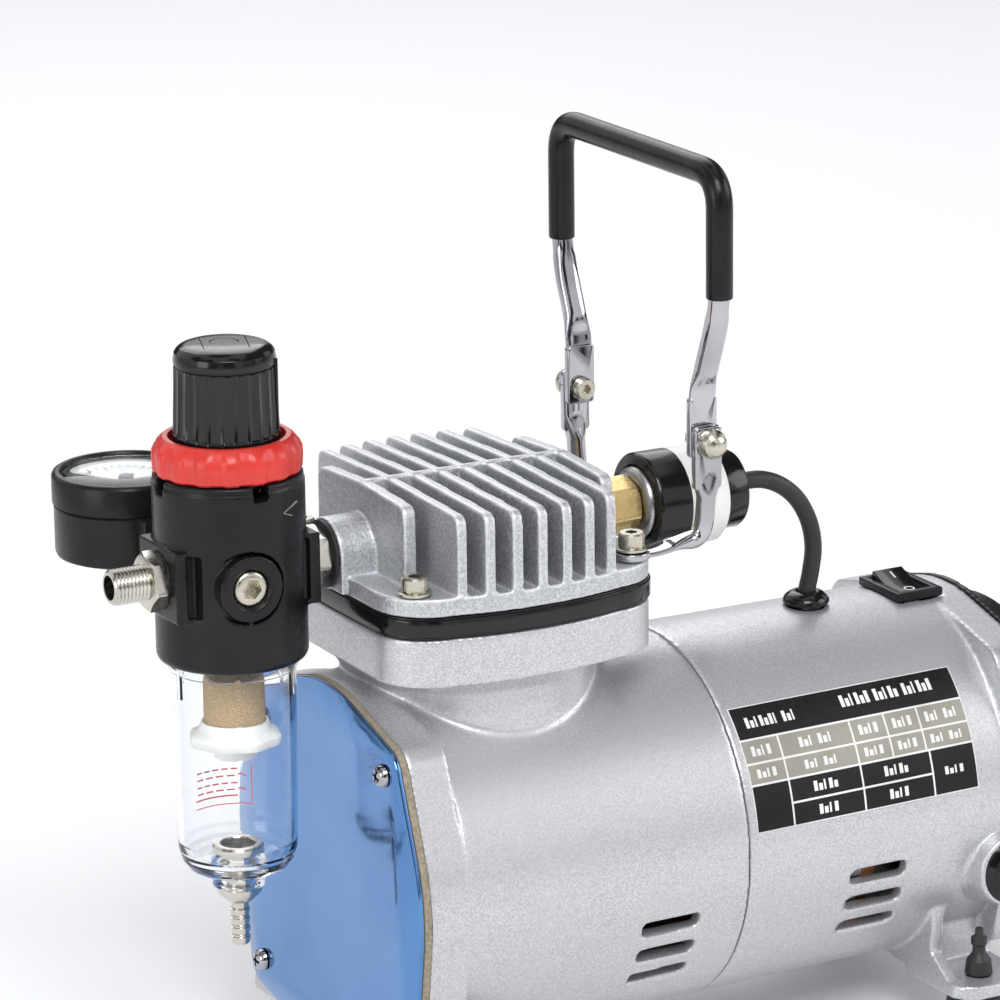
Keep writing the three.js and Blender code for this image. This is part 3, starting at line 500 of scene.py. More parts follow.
# ---- materials ------------------------------------------------------------------------
class Look:
    """A Principled material whose patterns are measured in metres on the piece itself."""

    def __init__(self, name, color, roughness, metallic=0.0, **sockets):
        self.material = bpy.data.materials.new(name)
        self.material.use_nodes = True
        self.tree = self.material.node_tree
        self.shader = self.tree.nodes["Principled BSDF"]
        self.shader.inputs["Base Color"].default_value = (*color, 1)
        self.shader.inputs["Roughness"].default_value = roughness
        self.shader.inputs["Metallic"].default_value = metallic
        for key, value in sockets.items():
            self.shader.inputs[key.replace("_", " ")].default_value = value
        self.coords = self.tree.nodes.new("ShaderNodeTexCoord").outputs["Object"]
        self.normal = None

    def node(self, kind, inputs=(), **settings):
        made = self.tree.nodes.new(kind)
        for key, value in settings.items():
            setattr(made, key, value)
        for key, value in dict(inputs).items():
            if isinstance(value, bpy.types.NodeSocket):
                self.tree.links.new(value, made.inputs[key])
            else:
                made.inputs[key].default_value = value
        return made

    def noise(self, scale, detail=2.0, stretch=None):
        vector = self.coords
        if stretch:
            vector = self.node("ShaderNodeMapping", {"Vector": vector, "Scale": stretch}).outputs[0]
        inputs = {"Vector": vector, "Scale": scale, "Detail": detail}
        return self.node("ShaderNodeTexNoise", inputs).outputs[0]

    def cells(self, scale, output="Color"):
        inputs = {"Vector": self.coords, "Scale": scale}
        return self.node("ShaderNodeTexVoronoi", inputs).outputs[output]

    def span(self, value, low, high, to_low=0.0, to_high=1.0):
        inputs = {"Value": value, "From Min": low, "From Max": high, "To Min": to_low, "To Max": to_high}
        return self.node("ShaderNodeMapRange", inputs).outputs[0]

    def mixed(self, share, a, b):
        made = self.node("ShaderNodeMix", data_type="RGBA")
        for socket, value in ((0, share), (6, a), (7, b)):
            if isinstance(value, bpy.types.NodeSocket):
                self.tree.links.new(value, made.inputs[socket])
            else:
                made.inputs[socket].default_value = value if socket == 0 else (*value, 1)
        return made.outputs[2]

    def feed(self, socket, value):
        self.tree.links.new(value, self.shader.inputs[socket])

    def tones(self, value, low, high, dark, light):
        """The base colour runs from dark to light as value goes from low to high."""
        self.feed("Base Color", self.mixed(self.span(value, low, high), dark, light))

    def gloss(self, value, low, high, first, last):
        """The roughness runs from first to last as value goes from low to high."""
        self.feed("Roughness", self.span(value, low, high, first, last))

    def bump(self, height, strength, distance):
        inputs = {"Height": height, "Strength": strength, "Distance": distance}
        if self.normal:
            inputs["Normal"] = self.normal
        self.normal = self.node("ShaderNodeBump", inputs).outputs[0]
        self.feed("Normal", self.normal)


def plain(name, color, roughness, metallic=0.0, spread=0.08, grain=900, relief=0.05, **sockets):
    """A smooth surface with slight variation of tone, gloss and relief."""
    look = Look(name, color, roughness, metallic, **sockets)
    broad = look.noise(60, 3)
    dark = tuple(c * 0.82 for c in color)
    light = tuple(min(1, c * 1.12 + 0.004) for c in color)
    look.tones(broad, 0.3, 0.7, dark, light)
    fine = look.noise(grain, 3)
    look.gloss(fine, 0.3, 0.7, max(0.02, roughness - spread), roughness + spread)
    look.bump(fine, relief, 0.00012)
    return look.material


def sparkle_paint():
    look = Look("silver_paint", (0.66, 0.67, 0.69), 0.38, 0.72)
    flake = look.cells(3300)
    value = look.node("ShaderNodeRGBToBW", {0: flake}).outputs[0]
    tone = look.mixed(look.span(value, 0.25, 0.8), (0.47, 0.475, 0.49), (0.69, 0.695, 0.71))
    broad = look.span(look.noise(35, 2), 0.3, 0.7, 0.0, 0.35)
    look.feed("Base Color", look.mixed(broad, tone, (0.60, 0.60, 0.63)))
    look.gloss(value, 0.2, 0.8, 0.46, 0.32)
    look.bump(look.noise(380, 2), 0.10, 0.0004)
    look.bump(value, 0.12, 0.00006)
    return look.material


def blasted_aluminium():
    look = Look("cast_aluminium", (0.62, 0.63, 0.65), 0.5, 0.82)
    grain = look.noise(1500, 4)
    pits = look.cells(1100, "Distance")
    edge_sharpness = look.node("ShaderNodeNewGeometry").outputs["Pointiness"]
    tone = look.mixed(look.span(grain, 0.35, 0.65), (0.42, 0.43, 0.45), (0.68, 0.69, 0.71))
    # Painted highlight: the base colour turns near white along sharp convex edges, such as the fin tops.
    edge = look.span(edge_sharpness, 0.505, 0.56, 0, 0.75)
    look.feed("Base Color", look.mixed(edge, tone, (0.9, 0.9, 0.91)))
    look.gloss(grain, 0.3, 0.7, 0.42, 0.62)
    look.bump(pits, 0.25, 0.0002)
    look.bump(grain, 0.45, 0.0002)
    return look.material


def blue_mirror():
    look = Look("blue_plate", (0.10, 0.27, 0.58), 0.1, 1.0, Coat_Weight=0.4, Coat_Roughness=0.06)
    cloud = look.noise(22, 3)
    look.tones(cloud, 0.3, 0.7, (0.070, 0.20, 0.48), (0.115, 0.28, 0.58))
    scratch = look.noise(140, 4, stretch=(1, 9, 0.6))
    look.gloss(scratch, 0.35, 0.75, 0.09, 0.2)
    look.bump(cloud, 0.05, 0.002)
    look.bump(scratch, 0.05, 0.0001)
    return look.material


def gasket_board():
    look = Look("gasket_board", (0.30, 0.25, 0.18), 0.9)
    fibre = look.noise(900, 5, stretch=(1, 3, 1))
    look.tones(fibre, 0.3, 0.7, (0.20, 0.165, 0.115), (0.38, 0.33, 0.25))
    look.bump(fibre, 0.3, 0.0002)
    return look.material


def porous_bronze():
    look = Look("sintered_bronze", (0.62, 0.52, 0.36), 0.7, 0.15)
    balls = look.cells(2600, "Distance")
    look.tones(balls, 0.1, 0.55, (0.78, 0.60, 0.37), (0.46, 0.32, 0.17))
    look.bump(balls, 0.9, 0.0004)
    return look.material


def clear(name, tint, roughness=0.015):
    """Clear plastic that lets the lamps through to what it covers."""
    look = Look(name, tint, roughness, Transmission_Weight=1.0, IOR=1.36)
    wavy = look.noise(45, 2)
    look.bump(wavy, 0.04, 0.001)
    through = look.node("ShaderNodeBsdfTransparent", {"Color": (*tint, 1)})
    path = look.node("ShaderNodeLightPath")
    blend = look.node("ShaderNodeMixShader", {0: path.outputs["Is Shadow Ray"]})
    look.tree.links.new(look.shader.outputs[0], blend.inputs[1])
    look.tree.links.new(through.outputs[0], blend.inputs[2])
    output = look.tree.nodes["Material Output"]
    look.tree.links.new(blend.outputs[0], output.inputs["Surface"])
    return look.material


def brushed(name, color, roughness, stretch=(1, 12, 12), relief=0.08):
    look = Look(name, color, roughness, 1.0)
    lines = look.noise(700, 3, stretch=stretch)
    look.tones(lines, 0.3, 0.7, tuple(c * 0.85 for c in color), color)
    look.gloss(lines, 0.3, 0.7, roughness * 0.7, roughness * 1.4)
    look.bump(lines, relief, 0.0001)
    return look.material


SILVER = sparkle_paint()
ALUMINIUM = blasted_aluminium()
BLUE = blue_mirror()
BOARD = gasket_board()
BLACK = plain("black_plastic", (0.006, 0.006, 0.0075), 0.31, spread=0.06, relief=0.04,
    Specular_IOR_Level=0.27)
GLOSS_BLACK = plain("gloss_black_plastic", (0.005, 0.005, 0.006), 0.14, spread=0.05, relief=0.03,
    Specular_IOR_Level=0.42)
RUBBER = plain("black_rubber", (0.016, 0.016, 0.017), 0.5, spread=0.1, grain=1400, relief=0.12)
SLEEVE = plain("sleeve_rubber", (0.006, 0.006, 0.007), 0.24, spread=0.05, grain=500, relief=0.05,
    Specular_IOR_Level=0.25)
RED = plain("red_plastic", (0.62, 0.032, 0.022), 0.32, spread=0.06, relief=0.04)
WHITE = plain("white_plastic", (0.80, 0.80, 0.78), 0.42, relief=0.04)
CHROME = plain("chrome", (0.45, 0.455, 0.475), 0.06, 1.0, spread=0.03, grain=250, relief=0.02)
NICKEL = plain("nickel", (0.62, 0.59, 0.53), 0.2, 1.0, spread=0.07, relief=0.06)
BRASS = plain("brass", (0.76, 0.56, 0.25), 0.27, 1.0, spread=0.08, relief=0.05)
ZINC = plain("zinc_plate", (0.60, 0.57, 0.48), 0.26, 1.0, spread=0.08, relief=0.06)
STEEL = brushed("steel", (0.50, 0.50, 0.51), 0.3)
CRIMP = brushed("crimped_steel", (0.48, 0.47, 0.45), 0.28)
COPPER = brushed("copper", (0.60, 0.28, 0.13), 0.35, stretch=(14, 1, 1), relief=0.5)
BRONZE = porous_bronze()
BOWL_CLEAR = clear("clear_plastic", (0.985, 0.992, 1.0))
LENS_CLEAR = clear("clear_lens", (0.97, 0.98, 0.985))
PAPER = plain("paper_white", (0.86, 0.86, 0.85), 0.7, relief=0.05)
LABEL_BLACK = plain("label_black", (0.005, 0.005, 0.006), 0.38, relief=0.03, Specular_IOR_Level=0.3)
LABEL_BEIGE = plain("label_beige", (0.34, 0.325, 0.28), 0.38, 0.4, relief=0.05)
MARK_WHITE = plain("mark_white", (0.80, 0.80, 0.78), 0.5, relief=0.02)
MARK_GREY = plain("mark_grey", (0.25, 0.25, 0.26), 0.4, relief=0.02)
MARK_RED = plain("mark_red", (0.72, 0.10, 0.10), 0.5, relief=0.02)


# ---- castings -------------------------------------------------------------------------
AXIS = (0, 0, AXIS_Z)
SCREWS = [Place(f"cover_screw_{i}") for i in (1, 2, 3, 4)]
FRONT_LUGS = [(s.y, s.z - AXIS_Z) for s in SCREWS]
REAR_LUGS = [(i * REAR_LUG, j * REAR_LUG) for i in (-1, 1) for j in (-1, 1)]
BOLTS = [(i * BOLT_AT, j * BOLT_AT) for i in (-1, 1) for j in (-1, 1)]
VOXEL = 0.62


def cooling_slots(x0, x1, angles):
    """Three slots on each side, each with rounded ends, low on the casting."""
    slots = []
    for angle in angles:
        for side in (-1, 1):
            slot = prism(rounded(x0, x1, -2.3, 2.3, 1.6), "y", WALL_R - 6, CASE_R + 4)
            slots.append(moved(mirrored(moved(slot, turn=-angle, about="x"), side), AXIS))
    return slots


def leg(side, wall_x, flange_x0, flange_x1):
    """A cross wall, a web along the belly and a flange over the foot."""
    foot = Place("foot_1")
    edge = -foot.y + 9.8
    z0, z1 = 11.5, 15.5
    wall = prism([(20, AXIS_Z - 46), (44, AXIS_Z - 24), (edge - 17, z0 + 10), (edge - 5, z0 + 2),
        (edge - 5, z0), (20, z0 + 3)], "x", wall_x, wall_x + 4)
    web = block(flange_x0, flange_x1, 33, 37, z0, AXIS_Z - 33)
    corners = [(flange_x0, 30, 0), (flange_x1, 30, 0), (flange_x1, edge), (flange_x0, edge)]
    flange = prism(fillet(corners, 9, True, 8), "z", z0, z1)
    return mirrored(join(wall, web, flange), side)


def near_neck(p):
    """Where the neck runs into the barrel, and where the square flange sits on the neck."""
    barrel = abs(math.hypot(p.y, p.z - AXIS_Z) - CASE_R)
    neck = abs(math.hypot(p.x, p.y) - 33)
    joint = max(barrel, neck) if p.z > AXIS_Z + 20 else 9
    return max(0.0, min(1.0, 1.3 - joint / 5))


def crankcase():
    front = CASE.x0
    lug_end = front + 11.5
    barrel = turned([(0, lug_end - 1), (FRONT_R - 0.2, lug_end - 1), (CASE_R, SEAM_X), (0, SEAM_X)], "x",
        AXIS, 144)
    neck = turned([(0, AXIS_Z), (33, AXIS_Z), (33, 106), (33.4, 112), (34.6, 117.5), (37.2, 121.5),
        (39.6, 123.4), (0, 123.4)], steps=144)
    flange = prism(bowed_square(FLANGE_HALF, FLANGE_BOW, FLANGE_CORNER), "z", 123, 136.2)
    shape = join(barrel, prism(lugged(FRONT_R, FRONT_LUGS), "x", front, lug_end), neck, flange,
        leg(-1, front, front, -10), leg(1, front, front, -10))
    for foot in (Place("foot_1"), Place("foot_2")):
        cut(shape, rod("z", 3.3, 5, 20, (foot.x, foot.y, 0)))
    cut(shape, rod("x", CHAMBER_R, front - 1, 19, AXIS, steps=128),
        rod("x", WALL_R, 23.5, SEAM_X + 1, AXIS, steps=128), rod("x", 10.3, 18, 24, AXIS),
        rod("z", 25.6, AXIS_Z + 26, 137.2), *cooling_slots(25, 43, (15.5, 25.5, 35.5)))
    for y, z in FRONT_LUGS:
        cut(shape, rod("x", 1.7, front - 1, front + 9, (0, y, AXIS_Z + z)))
    for x, y in BOLTS:
        cut(shape, rod("z", 2.3, 122, 137.2, (x, y, 0)))
    cast(shape, VOXEL, 4, 0.3, near_neck)
    piece("crankcase_casting", shape, SILVER, "crankcase")


def motor_housing():
    front = HOUSING.x0
    rear = HOUSING.x1
    lug_start = rear - 11
    barrel = turned([(0, front), (CASE_R, front), (CASE_R - 0.6, lug_start + 1), (0, lug_start + 1)], "x",
        AXIS, 144)
    face = -GLAND.y0 - 3.3
    boss = turned([(0, face), (10.3, face), (11.6, 46), (13.5, 40), (0, 40)], "y", steps=64)
    boss = moved(mirrored(boss), (GLAND.x, 0, GLAND.z))
    shape = join(barrel, prism(lugged(CASE_R - 0.4, REAR_LUGS), "x", lug_start, rear), boss,
        leg(-1, 122.5, 122.5, 146.5), leg(1, 122.5, 122.5, 146.5))
    cut(shape, rod("x", WALL_R, front - 1, rear + 1, AXIS, steps=128),
        *cooling_slots(91, 109, (12.5, 22.5, 32.5)),
        rod("z", 5.3, AXIS_Z + 40, AXIS_Z + 60, (GROMMET.x, 0, 0)),
        rod("y", 7.8, -60, -40, (GLAND.x, 0, GLAND.z)),
        block(FRAME.x0 - 0.3, FRAME.x1 + 0.3, FRAME.y0 - 0.3, FRAME.y1 + 0.3, AXIS_Z + 50.5, AXIS_Z + 60),
        block(FRAME.x - 6.6, FRAME.x + 6.6, -9.6, 9.6, AXIS_Z + 40, AXIS_Z + 60))
    for foot in (Place("foot_3"), Place("foot_4")):
        cut(shape, rod("z", 3.3, 5, 20, (foot.x, foot.y, 0)))
    for y, z in REAR_LUGS:
        cut(shape, rod("x", 1.7, rear - 9, rear + 1, (0, y, AXIS_Z + z)))
    bridge = join(block(124, 128, -WALL_R - 1, WALL_R + 1, AXIS_Z - 7, AXIS_Z + 7),
        rod("x", 14, 122, 130, AXIS))
    join(shape, cut(bridge, rod("x", 10.3, 121, 131, AXIS)))
    cast(shape, VOXEL, 4, 0.3)
    piece("motor_casting", shape, SILVER, "motor_housing")


def front_cover():
    holes = [rod("x", 1.8, COVER.x0 - 1, COVER.x1 + 1, (0, y, AXIS_Z + z), steps=32)
        for y, z in FRONT_LUGS]
    plate = prism(lugged(FRONT_R, FRONT_LUGS), "x", COVER.x0, COVER.x1, 0.3)
    piece("cover_plate", cut(plate, *holes), BLUE, "front_cover")
    window = rod("x", CHAMBER_R, GASKET.x0 - 1, GASKET.x1 + 1, AXIS, steps=96)
    sheet = cut(prism(lugged(FRONT_R, FRONT_LUGS), "x", GASKET.x0, GASKET.x1, 0.15), window)
    piece("gasket_sheet", sheet, BOARD, "cover_gasket")


def cross_screw(name, underside, turn, replaces=()):
    """A pan-head screw along X with a cross recess."""
    head = turned([(0, -2.3), (1.5, -2.2), (2.55, -1.6), (3.0, -0.7), (3.1, 0), (1.4, 0), (1.4, 8),
        (0, 8)], "x", steps=48)
    for angle in (0, 90):
        slot = moved(prism([(-1.75, -0.4), (1.75, -0.4), (1.75, 0.4), (-1.75, 0.4)], "x", -3, -0.9),
            turn=turn + angle, about="x")
        cut(head, slot)
    bevelled(head, 0.1, 1, 40)
    piece(name, moved(head, underside), CHROME, replaces)


def fan_guard():
    lugs = prism(lugged(CASE_R - 0.2, REAR_LUGS), "x", GUARD.x0, GUARD.x0 + 2)
    drum = turned([(0, GUARD.x0), (46.5, GUARD.x0), (45.5, 167), (42, 170.4), (36, GUARD.x1),
        (0, GUARD.x1)], "x", AXIS, 128)
    shape = cut(join(lugs, drum), rod("x", 43.5, GUARD.x0 - 1, 168.5, AXIS, steps=128))
    for z in range(-32, 33, 8):
        half = math.sqrt(36 ** 2 - z ** 2)
        slot = prism(rounded(-half, half, z - 2, z + 2, 1.8), "x", 165, GUARD.x1 + 1)
        cut(shape, moved(slot, AXIS))
    for z in (-12, 12):
        join(shape, moved(block(168.6, 170.6, z - 1.5, z + 1.5, -38, 38), AXIS))
    cast(shape, 0.6, 3, 0.4)
    piece("guard_grille", shape, BLACK, "fan_guard")


def castings():
    crankcase()
    motor_housing()
    front_cover()
    fan_guard()
    for i, (screw, turn) in enumerate(zip(SCREWS, (20, 65, 5, 50))):
        cross_screw(f"cover_screw_head_{i + 1}", (screw.x0 + 2.3, screw.y, screw.z), turn,
            f"cover_screw_{i + 1}")


castings()


# ---- cylinder head --------------------------------------------------------------------
FIN_PITCH, FIN_T, FIN_DROP, BORE = 7.4, 2.9, 1.3, 5.1
HEAD_HALF = 40


def fin(x, half, thickness):
    """One fin, highest at its middle and round at its shoulders."""
    shoulder = HEAD.z1 - FIN_DROP
    outline = fillet([(-half, HEAD.z0 + 3), (half, HEAD.z0 + 3), (half, shoulder), (0, HEAD.z1, 0.5),
        (-half, shoulder)], 3.6, True, 5)
    return prism(outline, "x", x - thickness / 2, x + thickness / 2)


def cylinder_head():
    top = HEAD.z0 + 5
    shape = prism(bowed_square(HEAD_HALF, FLANGE_BOW, FLANGE_CORNER), "z", HEAD.z0, top)
    fins = [fin(k * FIN_PITCH, 43.4 - FLANGE_BOW * (k / 3) ** 2, FIN_T) for k in range(-3, 4)]
    plates = [fin(s * 4 * FIN_PITCH, 25, 3.6) for s in (-1, 1)]
    join(shape, *fins, *plates, block(-30, 30, -0.75, 0.75, top - 1, HEAD.z1 + 0.5),
        block(-30, 30, -10, 10, top - 1, 161), rod("x", 9.7, -42, -28, DUCT),
        block(-42, -28, -9.7, 9.7, HEAD.z0 + 0.5, DUCT_Z), rod("x", 9.2, 28, 39.7, DUCT))
    cut(shape, rod("x", BORE, -43, -31, DUCT), rod("x", BORE, 31, 41, DUCT))
    for x, y in BOLTS:
        cut(shape, rod("z", 2.3, HEAD.z0 - 1, top + 1, (x, y, 0)))
    cast(shape, 0.5, 3, 0.35)
    piece("head_casting", shape, ALUMINIUM, "cylinder_head", 180)


def valve_band():
    """The valve plate between its two gaskets, each a little proud of the next."""
    layers = []
    for half, z0, z1 in ((40.0, PLATE.z0, PLATE.z0 + 0.6), (40.4, PLATE.z0 + 0.6, PLATE.z1 - 0.5),
            (40.1, PLATE.z1 - 0.5, PLATE.z1)):
        sheet = prism(bowed_square(half, FLANGE_BOW, FLANGE_CORNER, 20), "z", z0, z1, 0.22)
        for x, y in BOLTS:
            cut(sheet, rod("z", 2.3, z0 - 1, z1 + 1, (x, y, 0), steps=24))
        layers.append(sheet)
    band = together("valve_band", *layers)
    piece("valve_band", band, GLOSS_BLACK, "valve_plate")


def socket(flats, depth, at=(0, 0, 0)):
    """The tool for a hexagon socket that opens upwards."""
    return moved(prism(hexagon(flats), "z", -depth, 1), at)


def head_bolts():
    for i, (x, y) in enumerate(((-1, -1), (1, -1), (1, 1), (-1, 1))):
        place = Place(f"head_bolt_{i + 1}")
        cap = turned([(0, 0.85), (3.4, 0.85), (3.55, 1.1), (3.55, 4.3), (3.1, 4.8), (0, 4.8)])
        cut(cap, socket(3, 2.6, (0, 0, 4.8)))
        for a in round_about(24):
            groove = rod("z", 0.12, 1.3, 4.1, (3.62 * math.cos(a), 3.62 * math.sin(a), 0), steps=6)
            cut(cap, groove)
        washer = turned([(2.2, 0), (4.4, 0), (4.5, 0.15), (4.5, 0.65), (4.3, 0.8), (2.2, 0.8)])
        bolt = together("bolt", cap, washer, rod("z", 2, -21.5, 1))
        piece(f"head_bolt_{i + 1}_cap", moved(bolt, (place.x, place.y, place.z1 - 4.8)), ZINC,
            f"head_bolt_{i + 1}")


# ---- filter regulator -----------------------------------------------------------------
BODY_R = 20
PORT_FACE = 20.7
BLOCK_Y, BLOCK_Z = 11.2, 9.6


def regulator_body():
    z0, z1 = BODY.z0, BODY.z1
    shape = turned([(0, z0), (BODY_R - 1.6, z0), (BODY_R - 0.5, z0 + 0.6), (BODY_R, z0 + 1.8),
        (BODY_R, z1 - 2.2), (BODY_R - 0.35, z1 - 1.9), (BODY_R - 0.35, z1 - 0.4), (BODY_R - 0.8, z1),
        (0, z1)], at=REG, steps=144)
    low, high = DUCT_Z - BLOCK_Z, DUCT_Z + BLOCK_Z
    join(shape, block(REG_X - PORT_FACE, REG_X + PORT_FACE, -BLOCK_Y, BLOCK_Y, low, high),
        rod("y", 8.8, -20.5, 20.5, PORT, steps=96))
    for side in (-1, 1):
        for end in (-1, 1):
            x, y = REG_X + end * (PORT_FACE - 4.6), side * (BLOCK_Y + 0.8)
            cut(shape, block(x - 1.5, x + 1.5, y - 2.4, y + 2.4, low + 1.2, high - 1.2))
        mouth = [(0, 15), (4.9, 15), (4.9, 19.4), (5.7, 20.2), (5.7, 22), (0, 22)]
        moat = ring("y", 8.8, 9.7, 17.2, 21.5, steps=96)
        for tool in (turned(mouth, "y", steps=64), moat):
            cut(shape, moved(mirrored(tool, side), PORT))
    cut(shape, rod("z", 17.3, z0 - 1, 139, REG), rod("z", 15, 164, z1 + 1, REG),
        rod("x", BORE, REG_X - PORT_FACE - 1, REG_X + PORT_FACE + 1, DUCT),
        block(REG_X - 2.2, REG_X + 2.2, -25, 25, z1 - 4, z1 + 1),
        block(REG_X - 25, REG_X + 25, -2.2, 2.2, z1 - 4, z1 + 1))
    cast(shape, 0.36, 2, 0.4)
    piece("regulator_shell", shape, BLACK, "regulator_body", 34)


def flow_mark():
    """A flow mark in fine raised lines, high on the front of the body."""
    strokes = []
    for sign, length in ((1, 5.6), (-1, 3.4)):
        stroke = block(0, length, -BODY_R - 0.06, -BODY_R + 0.6, -0.11, 0.11)
        strokes.append(moved(stroke, turn=-22 * sign, about="y"))
    mark = moved(together("flow", *strokes), turn=19)
    piece("flow_mark", moved(mark, (REG_X, 0, 170.6)), MARK_GREY)


def panel_ring():
    z0, z1 = RING.z0, RING.z1
    levels = [(z0, 15.2), (z0, 18.9), (z0 + 0.6, 19.5), (z0 + 4.2, 19.7), (z1 - 3.4, 19.6),
        (z1 - 2.0, 18.9), (z1 - 0.7, 17.7), (z1, 16.7), (z1, 15.4), (z1 - 0.6, 15.2)]

    def lobes(a, h, base):
        if base < 18.5 or h > z1 - 1.5:
            return base
        wave = math.tanh(3.4 * math.cos(16 * a)) * 0.3
        return base - 0.3 + wave

    shape = polar(levels, lobes, REG, 256)
    piece("panel_nut", shape, RED, "panel_ring", 30)
    skin = [(RING.z0 - 2, 12), (RING.z0 - 2, 14.7), (184, 14.7), (184, 11.4), (186.4, 11), (186.4, 5),
        (184.6, 5), (184.6, 10.6), (183, 12)]
    bonnet = turned([(r, z) for z, r in skin], at=REG)
    piece("bonnet_sleeve", bonnet, BLACK, "regulator_bonnet")


def knob():
    z0, z1 = KNOB.z0, KNOB.z1
    seam = z1 - 5.6
    levels = [(195.5, 0), (195.5, 11.4), (z0, 11.4), (z0, 13.7), (z0 + 0.4, 14.0), (z0 + 1.2, 14.0),
        (z0 + 2, 13.95), (z0 + 2.4, 13.9), (z0 + 8, 13.7), (z0 + 14, 13.45), (seam - 0.9, 13.35),
        (seam - 0.5, 13.2), (seam - 0.25, 12.9), (seam, 12.9), (seam + 0.2, 13.3), (seam + 1, 13.4),
        (z1 - 3.6, 13.3), (z1 - 2.4, 13.05), (z1 - 1.5, 12.4), (z1 - 0.8, 11.3), (z1 - 0.35, 9.6),
        (z1 - 0.12, 6.5), (z1, 3), (z1, 0)]

    def flutes(a, h, base):
        if base < 13.2 or h < z0 + 2.2 or h > seam - 0.6:
            return base
        share = (a * 24 / (2 * math.pi)) % 1
        return base - 0.5 * (1 - (2 * share - 1) ** 2)

    shape = polar(levels, flutes, (0, 0, 0), 288)
    rib = block(12.8, 13.95, -0.45, 0.45, z0 + 3, seam + 1.6, 0.2)
    join(shape, moved(rib, turn=-38))
    cut(shape, prism(hexagon(11), "z", 195, 206))
    for x in (-5.9, 5.9):
        cut(shape, moved(block(x - 0.14, x + 0.14, -6.6, 6.6, z1 - 0.75, z1 + 1), turn=-19.4))
    mark = ring("z", 3.45, 3.85, z1 - 0.4, z1 + 1)
    mark = cut(mark, block(-6, 6, -6, -0.4, z1 - 2, z1 + 2))
    cut(shape, moved(mark, turn=-28))
    piece("knob_grip", moved(shape, REG), GLOSS_BLACK, "knob", 24, body="knob")


def filter_bowl():
    r, z0 = 16.6, 68.8
    low = BOWL.z0
    skin = [(3.4, low), (6.7, low), (7.1, low + 0.4), (7.1, z0 - 1), (7.6, z0 - 0.1), (11, z0 + 0.4),
        (13.2, z0 + 1.7), (14.9, z0 + 4), (15.8, z0 + 7.2), (16.1, z0 + 12), (r, 125.6), (17.2, 126),
        (17.2, 128.2), (r, 128.4), (r, BOWL.z1), (r - 1.6, BOWL.z1), (r - 1.8, 120), (14.4, z0 + 9),
        (13.6, z0 + 6.2), (12, z0 + 4.2), (9.8, z0 + 3.1), (3.4, z0 + 2.8)]
    shape = turned(fillet(skin, 0.5, True), at=(0, 0, 0), steps=128)
    for k in range(6):
        tab = block(r - 0.6, 17.25, -0.8, 0.8, 119.4, 128.2, 0.3)
        join(shape, moved(tab, turn=60 * k - 52))
    shape = moved(shape, REG)
    piece("clear_bowl", shape, BOWL_CLEAR, "filter_bowl", 40)


LEVELS = (92.9, 90.9, 88.8, 86.9, 85.2)


def level_marks():
    """Generic level lines printed on the bowl's far side."""
    r = 14.25
    start, end = math.radians(47), math.radians(116)
    strips = []
    for i, z in enumerate(LEVELS):
        first = start + (0.12 if i % 2 else 0.28)
        dashes = 5 if i < 4 else 1
        span = (end - first) / dashes
        for k in range(dashes):
            a0, a1 = first + k * span, first + (k + (0.72 if dashes > 1 else 1)) * span
            strips.append(curved_strip(r, a0, a1, z - 0.22, z + 0.22, 8))
    strips.append(curved_strip(r, start, end, 82.7, 83.0, 20))
    strips.append(curved_strip(r, start, start + 0.02, 82.7, 94, 2))
    marks = moved(together("level_marks", *strips), REG)
    piece("level_marks", marks, MARK_RED, sharp=60)


def curved_strip(r, a0, a1, z0, z1, steps, thick=0.06):
    """A thin printed strip round a vertical cylinder."""
    rings = []
    for k in range(steps + 1):
        a = a0 + (a1 - a0) * k / steps
        section = ((r - thick, z0), (r - thick, z1), (r, z1), (r, z0))
        rings.append([(rr * math.cos(a), rr * math.sin(a), z) for rr, z in section])
    return skinned(rings)


def filter_inside():
    element = Place("filter_element")
    core = ring("z", 3.2, 8.05, element.z0, element.z1, REG, 0.5)
    piece("bronze_element", core, BRONZE, "filter_element")
    levels = [(101, 0), (101, 5.6), (103.4, 6.2), (104.8, 10.4), (105, 12), (105.8, 12.4), (107.2, 12.4),
        (107.9, 11.8), (108.6, 9.6), (110.6, 9.1), (111.2, 8.8), (111.2, 8.3), (109.7, 8.2), (109.7, 2.5),
        (146, 2.5), (146, 0)]

    def petals(a, h, base):
        if base < 9 or h > 108:
            return base
        return base + 0.35 * math.cos(8 * a) - 0.35

    baffle = polar(levels, petals, REG, 160)
    piece("baffle_disc", baffle, WHITE, "filter_baffle", 35)


def drain_valve():
    """The nut inside the bowl, the spindle through its neck, the cone and the ribbed tail."""
    ribs = []
    for i in range(4):
        z = 48 + i * 2.6
        ribs += [(2.1, z), (2.3, z + 0.2), (2.6, z + 1.6), (2.6, z + 2.1), (2.15, z + 2.2)]
    tail = turned([(1.1, 48), *ribs, (2.3, 58.6), (2.4, 60.6), (1.1, 60.6)])
    cone = turned([(1.1, 60.2), (3.3, 60.2), (3.7, 60.6), (5.9, 62.7), (6, 63.1), (6, 64.2), (1.1, 64.2)])
    inside = nut("z", 10.4, 71.9, 73.6, (0, 0, 0), 0.3)
    collar = turned([(4.6, 73.4), (6.7, 73.4), (6.9, 73.8), (6.9, 76), (6.4, 76.6), (4.9, 76.6),
        (4.6, 76.2)])
    floor = turned([(1.1, 73), (4.9, 73), (4.9, 73.8), (1.1, 73.8)])
    shape = together("drain", tail, cone, inside, collar, floor, ring("z", 1.1, 3, 62, 73))
    drop = Place("drain_valve").z0 - 48
    seal = moved(ring("z", 1.1, 4.6, 74, 74.9), (REG_X, 0, drop))
    piece("drain_seal", seal, RUBBER, body="drain")
    piece("drain_fitting", moved(shape, (REG_X, 0, drop)), NICKEL, "drain_valve", 35,
        body="drain")


